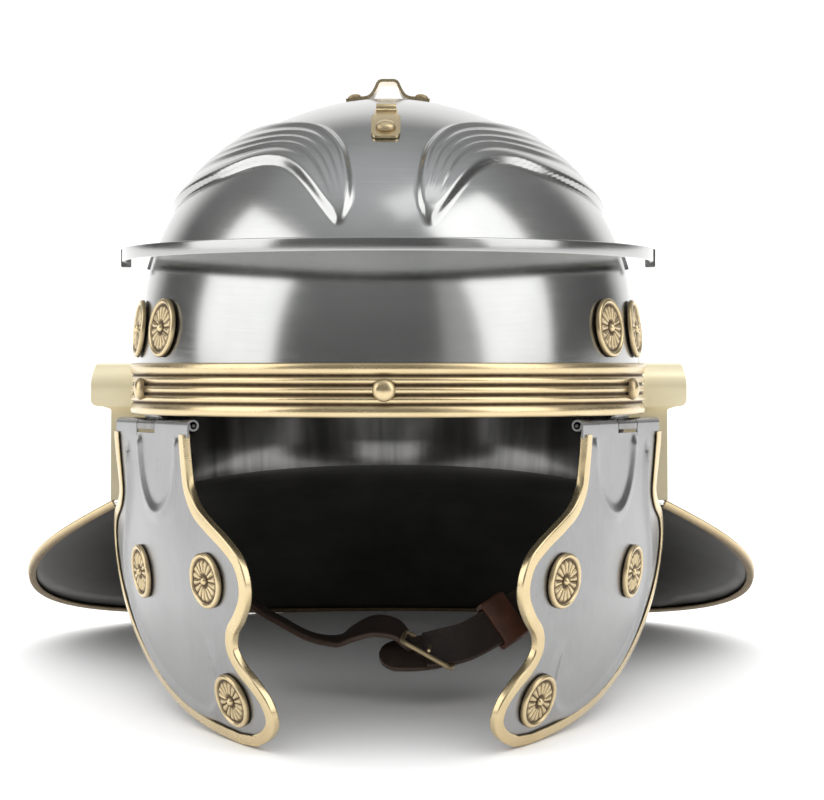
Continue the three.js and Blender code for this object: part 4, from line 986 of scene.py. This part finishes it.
rows = []
for share in np.linspace(0, 1, hook_rows):
    corner = 1 - 0.42 * (1 - math.sqrt(1 - min(1.0, max(0.0, (share - 0.84) / 0.16)) ** 2))
    shoulder = 1 - 0.20 * (1 - smooth(0.30, 0.34, share)) + 0.12 * math.exp(-((share - 0.27) / 0.035) ** 2)
    across = np.linspace(-0.5, 0.5, hook_columns) * hook_width * corner * shoulder
    rows.append(hook_spot(share, across))
grid = np.vstack(rows)
plate_points, plate_faces, _ = thicken(grid, grid_faces(hook_rows, hook_columns), bridge_sheet,
                                     away=(0, -0.5, 1))
root, root_up = hook_spot(0.03), bowl_normal(hook_spot(0.03))
back_way = np.cross((1.0, 0, 0), root_up)
turns = np.linspace(0, 0.75 * math.pi, curl_stations)
curl = hook_lift * 0.42
at = root + root_up * (curl * np.sin(turns)[:, None] + 0.6 * (turns / turns[-1])[:, None])
at = at + back_way * (curl * (np.cos(turns) - 1))[:, None] + back_way * 0.4
heading = headings(at)
tongue = round_corners([(-4.0, -0.6), (4.0, -0.6), (4.0, 0.6), (-4.0, 0.6)], 0.3, 3)
tongue_part = sweep(at, np.tile((1.0, 0, 0), (curl_stations, 1)), np.cross((1.0, 0, 0), heading), tongue)
points, faces = together((plate_points, plate_faces), tongue_part)
away = np.abs(points[:, 0]) / (hook_width / 2)
make_piece("slit_crest_hook", points, faces, (brass,), "helmet", ["crest_hook"],
           tarnish_wear_and_shade=smooth(0.85, 1.0, away) * 0.35)
at = hook_spot(0.76)
rivet_piece("crest_hook_dome", 3.9, 2.6, at, bowl_normal(at), brass, "helmet", "crest_hook_rivet")


# Cheek pieces: pale satin steel, cupped round the face, with raised contour lines. The top edge
# is rolled round the hinge pin in front of and behind the bowl's own knuckle.
pale_steel = steel_material("pale_steel", (0.27, 0.27, 0.27), (0.36, 0.36, 0.36), 0.30, (500.0, 500.0, 120.0))
hinge_z = -3.7
hinge_start = np.array([73.2, -85.0, hinge_z])
hinge_end = np.array([107.8, -8.5, hinge_z])
hinge_length = np.linalg.norm(hinge_end - hinge_start)
hinge_along = (hinge_end - hinge_start) / hinge_length
hinge_out = np.array([hinge_along[1], -hinge_along[0], 0.0])
knuckle_radius, cheek_drop, cheek_sheet = 2.5, 121.0, 1.2
cheek_cup, cheek_inward = 0.0018, 0.0022
# Rows: share of the drop, then the front and the rear edge as shares of the hinge
cheek_outline = np.array([
    (0.028, 0.05, 0.995), (0.10, 0.05, 1.0), (0.18, 0.048, 1.012), (0.225, 0.024, 1.025),
    (0.265, -0.025, 1.09), (0.305, -0.12, 1.22), (0.355, -0.245, 1.30), (0.41, -0.34, 1.325),
    (0.475, -0.375, 1.315), (0.54, -0.36, 1.285), (0.60, -0.295, 1.225), (0.65, -0.215, 1.16),
    (0.70, -0.19, 1.085), (0.75, -0.225, 0.995), (0.80, -0.295, 0.89), (0.85, -0.345, 0.765),
    (0.90, -0.355, 0.61), (0.94, -0.33, 0.44), (0.975, -0.26, 0.21), (1.0, -0.15, -0.03),
])


def cheek_point(along, down, lift=0.0):
    along, down = np.asarray(along, float), np.asarray(down, float)
    cup = cheek_cup * (along - 0.5 * hinge_length) ** 2 * smooth(0, 34, down)
    inward = cheek_inward * np.maximum(0, down - 30) ** 2
    out = knuckle_radius - 0.1 - cup - inward + lift
    point = hinge_start + hinge_along * along[..., None] + hinge_out * out[..., None]
    return point - stacked(0, 0, down)


def cheek_normal(along, down):
    step = 0.5
    a = cheek_point(along + step, down) - cheek_point(along - step, down)
    b = cheek_point(along, down + step) - cheek_point(along, down - step)
    return unit(np.cross(b, a))


# Raised lines: places along the hinge and down, as shares of its length and of the drop
ring_line = [(0.14, 0.03), (0.17, 0.14), (0.25, 0.235), (0.38, 0.285), (0.50, 0.27), (0.60, 0.20),
             (0.65, 0.11), (0.66, 0.03)]
contour_line = [(0.83, 0.05), (0.85, 0.2), (0.90, 0.31), (1.0, 0.42), (1.04, 0.53), (0.97, 0.66),
                (0.78, 0.79), (0.5, 0.885), (0.22, 0.925), (0.05, 0.87), (0.0, 0.76), (0.02, 0.66)]


def cheek_relief(along, down):
    spots = np.stack([along, down], axis=-1).reshape(-1, 2)
    raised = np.zeros(len(spots))
    for line, tall, width in ((ring_line, 1.2, 2.6), (contour_line, 1.5, 2.4)):
        curve = through([(a * hinge_length, d * cheek_drop) for a, d in line], 160)
        gap = np.linalg.norm(spots[:, None, :] - curve[None, :, :], axis=2)
        place = gap.argmin(axis=1) / (len(curve) - 1)
        taper = smooth(0.0, 0.05, place) * (1 - smooth(0.93, 1.0, place))
        raised = np.maximum(raised, tall * taper * np.exp(-(gap.min(axis=1) / width) ** 2))
    return raised.reshape(np.shape(along))


outline = through(cheek_outline, 600)
plate_rows, plate_columns = 150, 84
downs = np.linspace(cheek_outline[0, 0], 1.0, plate_rows)
fronts, rears = (np.interp(downs, outline[:, 0], outline[:, k]) for k in (1, 2))
shares = np.linspace(0, 1, plate_columns)
along = (fronts[:, None] + (rears - fronts)[:, None] * shares[None, :]) * hinge_length
down = np.repeat(downs[:, None], plate_columns, axis=1) * cheek_drop
grid = cheek_point(along, down) + cheek_normal(along, down) * cheek_relief(along, down)[..., None]
plate = thicken(grid.reshape(-1, 3), grid_faces(plate_rows, plate_columns), cheek_sheet, away=hinge_out)
plate_outer = plate[2]


def rolled_knuckle(start, end):
    """A roll of sheet round the pin, with the web that joins it to the plate below."""
    sheet = 0.75
    web = [(knuckle_radius - sheet / 2 - 0.05, -cheek_outline[0, 0] * cheek_drop - 1.2)]
    turn = np.linspace(0, 2.1 * math.pi, 64)
    radius = np.linspace(knuckle_radius - sheet / 2, 1.55, 64)
    roll = np.stack([radius * np.cos(turn), radius * np.sin(turn)], axis=1)
    middle = np.vstack([web, roll])
    tangent = unit(np.gradient(middle, axis=0))
    normal = np.stack([tangent[:, 1], -tangent[:, 0]], axis=1)
    section = np.vstack([middle + normal * sheet / 2, (middle - normal * sheet / 2)[::-1]])
    count = len(section)
    rings = [hinge_start + hinge_along * a + hinge_out * section[:, 0:1] + stacked(0, 0, section[:, 1])
             for a in (start, end)]
    faces = grid_faces(2, count, wrap=True)
    for base in (0, count):
        for k in range(len(middle) - 1):
            faces.append((base + k, base + k + 1, base + count - 2 - k, base + count - 1 - k))
    return np.vstack(rings), faces


knuckle_from, knuckle_to, knuckle_gap = 0.455 * hinge_length, 0.695 * hinge_length, 0.6
front_roll = rolled_knuckle(0.0, knuckle_from - knuckle_gap)
rear_roll = rolled_knuckle(knuckle_to + knuckle_gap, hinge_length)
cheek_part = together(plate[:2], front_roll, rear_roll)
# The back faces of the plate take the near-black steel: painted shade on the inside of the cheek piece.
cheek_chosen = [0] * plate_outer + [1] * plate_outer + [0] * (len(cheek_part[1]) - 2 * plate_outer)
for flip, side_name in both_sides:
    points, faces = on_side(cheek_part, flip)
    make_piece(f"satin_cheek_{side_name}", points, faces, (pale_steel, shade_black_steel), f"cheek_{side_name}",
               [f"cheek_piece_{side_name}"], chosen=cheek_chosen, angle=45)

# Cheek edging: a brass strip folded over the front, lower and rear edge of the cheek piece. Three
# stamped rosettes sit on each plate.
edge_pairs = np.vstack([
    np.stack([fronts, downs], axis=1), np.stack([rears, downs], axis=1)[::-1],
]) * np.array([hinge_length, cheek_drop])
edge_pairs = even(edge_pairs, 360)
edge_at = cheek_point(edge_pairs[:, 0], edge_pairs[:, 1])
edge_up = cheek_normal(edge_pairs[:, 0], edge_pairs[:, 1])
edge_across = unit(np.cross(headings(edge_at), edge_up))
centre = cheek_point(0.4 * hinge_length, 0.5 * cheek_drop)
if ((edge_at - centre) * edge_across).sum() < 0:
    edge_across = -edge_across
edging_part = sweep(edge_at, edge_across, edge_up, edging_section(3.6, cheek_sheet, edging_gap, 2.2))
for flip, side_name in both_sides:
    points, faces = on_side(edging_part, flip)
    make_piece(f"cheek_binding_{side_name}", points, faces, (brass,), f"cheek_{side_name}",
               [f"cheek_edging_{side_name}"])
    mirror_x = np.array([flip, 1, 1])
    for a, d, place in ((-0.07, 0.485, "front"), (0.68, 0.485, "rear"), (-0.075, 0.865, "lower")):
        spot = np.array([a * hinge_length]), np.array([d * cheek_drop])
        up = cheek_normal(*spot)[0]
        at = cheek_point(*spot)[0] + up * edging_gap
        rosette_piece(f"stamped_cheek_rosette_{side_name}_{place}", 10.75, at * mirror_x, up * mirror_x,
                      f"cheek_{side_name}", f"cheek_rosette_{side_name}_{place}")


# Hinge leaves and pins: inside the bowl's edge a small plate carries the middle knuckle, and a
# wire pin runs through all three.
leaf_columns, leaf_heights, leaf_sheet = 12, (0.3, 3.0, 6.0, 9.0, 12.0), 1.0


def leaf_part():
    roll_points, roll_faces = rolled_knuckle(knuckle_from, knuckle_to)
    share = np.linspace(0, 1, leaf_columns)
    spots = hinge_start + hinge_along * (knuckle_from + (knuckle_to - knuckle_from) * share)[:, None]
    rows = [spots - hinge_out * 1.4]
    angle = np.degrees(np.arctan2(spots[:, 0] / bowl_half_width, -spots[:, 1] / bowl_half_depth))
    for z in leaf_heights:
        rows.append(bowl_point(angle, z, -bowl_sheet - 0.75))
    points, faces, _ = thicken(np.vstack(rows), grid_faces(len(rows), leaf_columns), leaf_sheet,
                               away=hinge_out)
    web = roll_points[:, 2] < hinge_z - knuckle_radius - 0.2
    roll_points[web, 2] = hinge_z - knuckle_radius + 0.6
    return together((points, faces), (roll_points, roll_faces))


leaf = leaf_part()
pin_line = np.array([hinge_start - hinge_along * 0.5, hinge_end + hinge_along * 0.5])
pin_turn = np.linspace(0, 2 * math.pi, 20, endpoint=False)
pin_section = np.stack([np.cos(pin_turn), np.sin(pin_turn)], axis=1) * 0.95
pin_stations = np.linspace(pin_line[0], pin_line[1], 4)
pin = sweep(pin_stations, np.tile(hinge_out, (4, 1)), np.tile((0.0, 0, 1), (4, 1)), pin_section,
            size=(0.7, 1, 1, 0.7))
for flip, side_name in both_sides:
    points, faces = on_side(leaf, flip)
    make_piece(f"rolled_leaf_{side_name}", points, faces, (shaded_inner_steel,), "helmet",
               [f"hinge_leaf_{side_name}"])
    points, faces = on_side(pin, flip)
    make_piece(f"wire_pin_{side_name}", points, faces, (shaded_inner_steel,), "helmet",
               [f"hinge_pin_{side_name}"])


# Chin strap: two dark leather straps riveted inside the bowl's back corners and buckled under
# the chin, with a reddish keeper that holds the free end.
def leather_material(name, dark, light, edge):
    made, shader, wire = new_finish(name)
    place = wire.node("ShaderNodeTexCoord", output="Object")
    grain = wire.node("ShaderNodeTexVoronoi", {"feature": "SMOOTH_F1"}, {"Vector": place, "Scale": 950.0})
    cloud = noise(place, 90.0, 4.0, 0.6)
    worn_edge = wire.node("ShaderNodeAttribute", {"attribute_name": "tarnish_wear_and_shade"}, output="Fac")
    link(blend(worn_edge, blend(ramp(cloud, 0.3, 0.7), dark, light), edge), shader, "Base Color")
    link(cloud * 0.25 + 0.36, shader, "Roughness")
    bump = wire.node("ShaderNodeBump", {}, {"Strength": 0.35, "Distance": 0.0003, "Height": grain + cloud})
    link(bump, shader, "Normal")
    return made


strap_leather = leather_material("strap_leather", (0.013, 0.008, 0.006), (0.036, 0.021, 0.014),
                                 (0.07, 0.038, 0.022))
keeper_leather = leather_material("keeper_leather", (0.055, 0.019, 0.010), (0.12, 0.040, 0.018),
                                  (0.2, 0.08, 0.04))
strap_width, strap_thick, strap_drop = 15.6, 2.2, 100.0
anchor_x, anchor_y = 96.0, 31.0
# Rows: side, back and down as shares of the anchor's place and the drop, then the width's direction
left_rows = [
    (1, 1, -0.08, 0.231, 0.973, 0), (1, 1, 0.02, 0.231, 0.973, 0), (0.94, 0.93, 0.2, 0.2, 0.98, 0),
    (0.84, 0.68, 0.43, 0.1, 0.99, 0.05), (0.70, 0.33, 0.66, 0, 0.99, 0.1),
    (0.57, 0.05, 0.785, 0, 0.99, 0.08), (0.453, -0.12, 0.850, 0, 1, 0.05),
    (0.327, -0.28, 0.906, 0, 1, 0.05), (0.214, -0.40, 0.918, 0, 0.99, 0.10),
    (0.139, -0.48, 0.886, 0, 0.95, 0.25), (0.054, -0.50, 0.858, 0, 0.90, 0.40),
    (-0.03, -0.50, 0.870, 0, 0.90, 0.42), (-0.08, -0.48, 0.915, 0, 0.92, 0.38),
    (-0.11, -0.45, 0.962, 0, 0.95, 0.3),
]
right_rows = [
    (-1, 1, -0.08, -0.231, 0.973, 0), (-1, 1, 0.02, -0.231, 0.973, 0), (-0.96, 0.93, 0.18, -0.2, 0.97, 0.1),
    (-0.88, 0.68, 0.4, -0.2, 0.9, 0.35), (-0.77, 0.35, 0.6, -0.25, 0.65, 0.7),
    (-0.64, 0.0, 0.745, -0.3, 0.4, 0.86), (-0.49, -0.30, 0.838, -0.3, 0.25, 0.92),
    (-0.345, -0.47, 0.915, -0.22, 0.22, 0.95),
    (-0.219, -0.54, 0.950, -0.12, 0.38, 0.91), (-0.10, -0.58, 0.972, -0.05, 0.65, 0.75),
    (0.035, -0.60, 0.978, 0, 0.80, 0.60),
]


def strap_stations(rows, count):
    rows = np.array(rows, float)
    places = np.stack([-rows[:, 0] * anchor_x, rows[:, 1] * anchor_y, -rows[:, 2] * strap_drop], axis=1)
    both = even(np.hstack([through(places, 200), through(rows[:, 3:], 200)]), count)
    line, wide = both[:, :3], both[:, 3:]
    along = headings(line)
    wide = unit(wide - along * (wide * along).sum(axis=1, keepdims=True))
    up = unit(np.cross(wide, along))
    inside = np.where(np.abs(up[:, 2]) > 0.01, up[:, 2], -up[:, 0] * line[:, 0])
    return line, wide, up * np.sign(inside)[:, None]


def strap_part(line, wide, up, width, thick):
    half, t = width / 2, thick / 2
    section = round_corners([(-half, -t), (half, -t), (half, t), (-half, t)], 0.7, 5)
    across = np.linspace(-half + 1.0, half - 1.0, 15)
    groove = 0.16 * np.exp(-((np.abs(across) - half + 2.0) / 0.35) ** 2)
    low = np.stack([across, groove - t], axis=1)
    top = np.stack([across, t - groove], axis=1)[::-1]
    corner = section.reshape(4, 5, 2)
    section = np.vstack([corner[0], low, corner[1], corner[2], top, corner[3]])
    return sweep(line, wide, up, section), section


def strap_edges(section, count, half):
    rim = smooth(half - 0.9, half - 0.1, np.abs(section[:, 0]))
    return np.tile(rim * 0.7, count)


def narrowed(points, line, wide, share):
    """A strap's points with the width at each station cut to its share."""
    each = len(points) // len(line)
    centres, across, share = (np.repeat(values, each, axis=0) for values in (line, wide, share))
    sideways = ((points - centres) * across).sum(axis=1)
    return points + across * (sideways * (share - 1))[:, None]


strap_count = 150
left_line = strap_stations(left_rows, strap_count)
right_line = strap_stations(right_rows, strap_count)
for stations, side_name in ((left_line, "left"), (right_line, "right")):
    (points, faces), section = strap_part(*stations, strap_width, strap_thick)
    edges = strap_edges(section, strap_count, strap_width / 2)
    from_end = np.linalg.norm(stations[0] - stations[0][-1], axis=1) / (strap_width * 0.45)
    rounding = np.sqrt(np.clip(1 - (1 - np.minimum(from_end, 1.0)) ** 2, 0.02, 1))
    points = narrowed(points, stations[0], stations[1], rounding)
    make_piece(f"leather_strap_{side_name}", points, faces, (strap_leather,), "helmet",
               [f"chin_strap_{side_name}"], tarnish_wear_and_shade=edges, angle=60)

buckle_across = unit(np.array([0.87, 0.0, -0.48]))
buckle_along = unit(np.array([0.10, 1.0, 0.18]))
buckle_along = unit(buckle_along - buckle_across * (buckle_along @ buckle_across))
buckle_up = np.cross(buckle_across, buckle_along)
buckle_middle = np.array([16.5, -17.6, -95.3])
buckle_length, buckle_width, wire_radius = 17.0, 25.0, 1.05
frame_stations, tongue_stations = 96, 12
half_a, half_b = buckle_length / 2 - wire_radius, buckle_width / 2 - wire_radius
frame_line = [(-half_a, -half_b), (half_a, -half_b), (half_a, half_b), (-half_a, half_b)]
frame_line = round_corners(frame_line, 2.6, 9)
frame_line = even(np.vstack([frame_line, frame_line[:1]]), frame_stations + 1)[:-1]
frame_at = buckle_middle + buckle_along * frame_line[:, 0:1] + buckle_across * frame_line[:, 1:2]
heading = unit(np.roll(frame_at, -1, axis=0) - np.roll(frame_at, 1, axis=0))
frame_up = np.tile(buckle_up, (frame_stations, 1))
turn = np.linspace(0, 2 * math.pi, 16, endpoint=False)
wire_section = np.stack([np.cos(turn), np.sin(turn)], axis=1) * wire_radius
ring = sweep(frame_at, unit(np.cross(heading, frame_up)), frame_up, wire_section, closed=True)
tongue_line = np.linspace(-half_a - 0.3, half_a + 0.9, tongue_stations)
tongue_rise = wire_radius + 1.3 * np.sin(np.linspace(0.25, 1, tongue_stations) * math.pi) ** 0.7
tongue_at = buckle_middle + buckle_along * tongue_line[:, None] + buckle_up * tongue_rise[:, None]
tongue_across, tongue_up = (np.tile(way, (tongue_stations, 1)) for way in (buckle_across, buckle_up))
tongue = sweep(tongue_at, tongue_across, tongue_up, wire_section * 0.72,
               size=np.r_[0.8, np.ones(tongue_stations - 2), 0.7])
points, faces = together(ring, tongue)
make_piece("wire_buckle", points, faces, (brass,), "helmet", ["chin_strap_buckle"],
           tarnish_wear_and_shade=np.full(len(points), 0.25))

# The free end of the left strap passes through the buckle and lies on the right strap
keeper_x, tail_start_x, tail_count = 46.4, 14.0, 90
keeper_index = np.abs(right_line[0][:, 0] - keeper_x).argmin()
first = np.abs(right_line[0][:, 0] - tail_start_x).argmin()
tail_line, tail_wide, tail_up = (values[keeper_index - 22:first][::-1] for values in right_line)
raise_by = strap_thick + 0.25
tail_at = even(np.hstack([tail_line + tail_up * raise_by, tail_wide]), tail_count)
tail_line, tail_wide = tail_at[:, :3], unit(tail_at[:, 3:])
tail_along = headings(tail_line)
tail_wide = unit(tail_wide - tail_along * (tail_wide * tail_along).sum(axis=1, keepdims=True))
tail_up = unit(np.cross(tail_wide, tail_along))
tail_up *= np.sign(tail_up[:, 2:3])
point_share = np.clip((np.arange(tail_count) - 74) / 15.0, 0, 1)
(points, faces), section = strap_part(tail_line, tail_wide, tail_up, strap_width - 0.4, strap_thick - 0.4)
points = narrowed(points, tail_line, tail_wide, 1 - 0.55 * point_share ** 2)
make_piece("strap_tail", points, faces, (strap_leather,), "helmet",
           tarnish_wear_and_shade=strap_edges(section, tail_count, strap_width / 2 - 0.2), angle=60)

# The keeper is a band of leather round both straps
line, wide, up = (values[keeper_index] for values in right_line)
keeper_along = np.cross(wide, up)
keeper_half, keeper_tall = strap_width / 2 + 0.6, strap_thick / 2 + 0.6
keeper_room, keeper_wall = 2.6, 1.8


def keeper_outline(wall, radius):
    half, low, high = keeper_half + wall, -keeper_tall - wall, keeper_tall + keeper_room + wall
    return round_corners([(-half, low), (half, low), (half, high), (-half, high)], radius, 6)


outer, inner = keeper_outline(keeper_wall, 2.2), keeper_outline(0.0, 1.2)
keeper_rings = [(outer + (inner - outer) * share, place)
                for share, place in ((0.175, -5.5), (0.0, -5.1), (0.0, 5.1), (0.175, 5.5))]
keeper_rings += [(inner, 5.5), (inner, -5.5)]
rings = [line + wide * ring[:, 0:1] + up * ring[:, 1:2] + keeper_along * place
         for ring, place in keeper_rings]
count = len(outer)
faces = grid_faces(6, count, wrap=True)
faces += [(5 * count + k, 5 * count + (k + 1) % count, (k + 1) % count, k) for k in range(count)]
make_piece("red_keeper", np.vstack(rings), faces, (keeper_leather,), "helmet",
           ["chin_strap_keeper"], tarnish_wear_and_shade=np.zeros(6 * count), angle=60)

for flip, side_name in both_sides:
    at = np.array([anchor_x * flip, anchor_y, 4.0])
    up = -bowl_normal(np.array([at[0], at[1], 0.0]))
    at = at + up * (strap_thick / 2 + 0.1)
    rivet_piece(f"strap_end_rivet_{side_name}", small_rivet, 1.6, at, up, brass, "helmet",
                f"chin_strap_rivet_{side_name}")
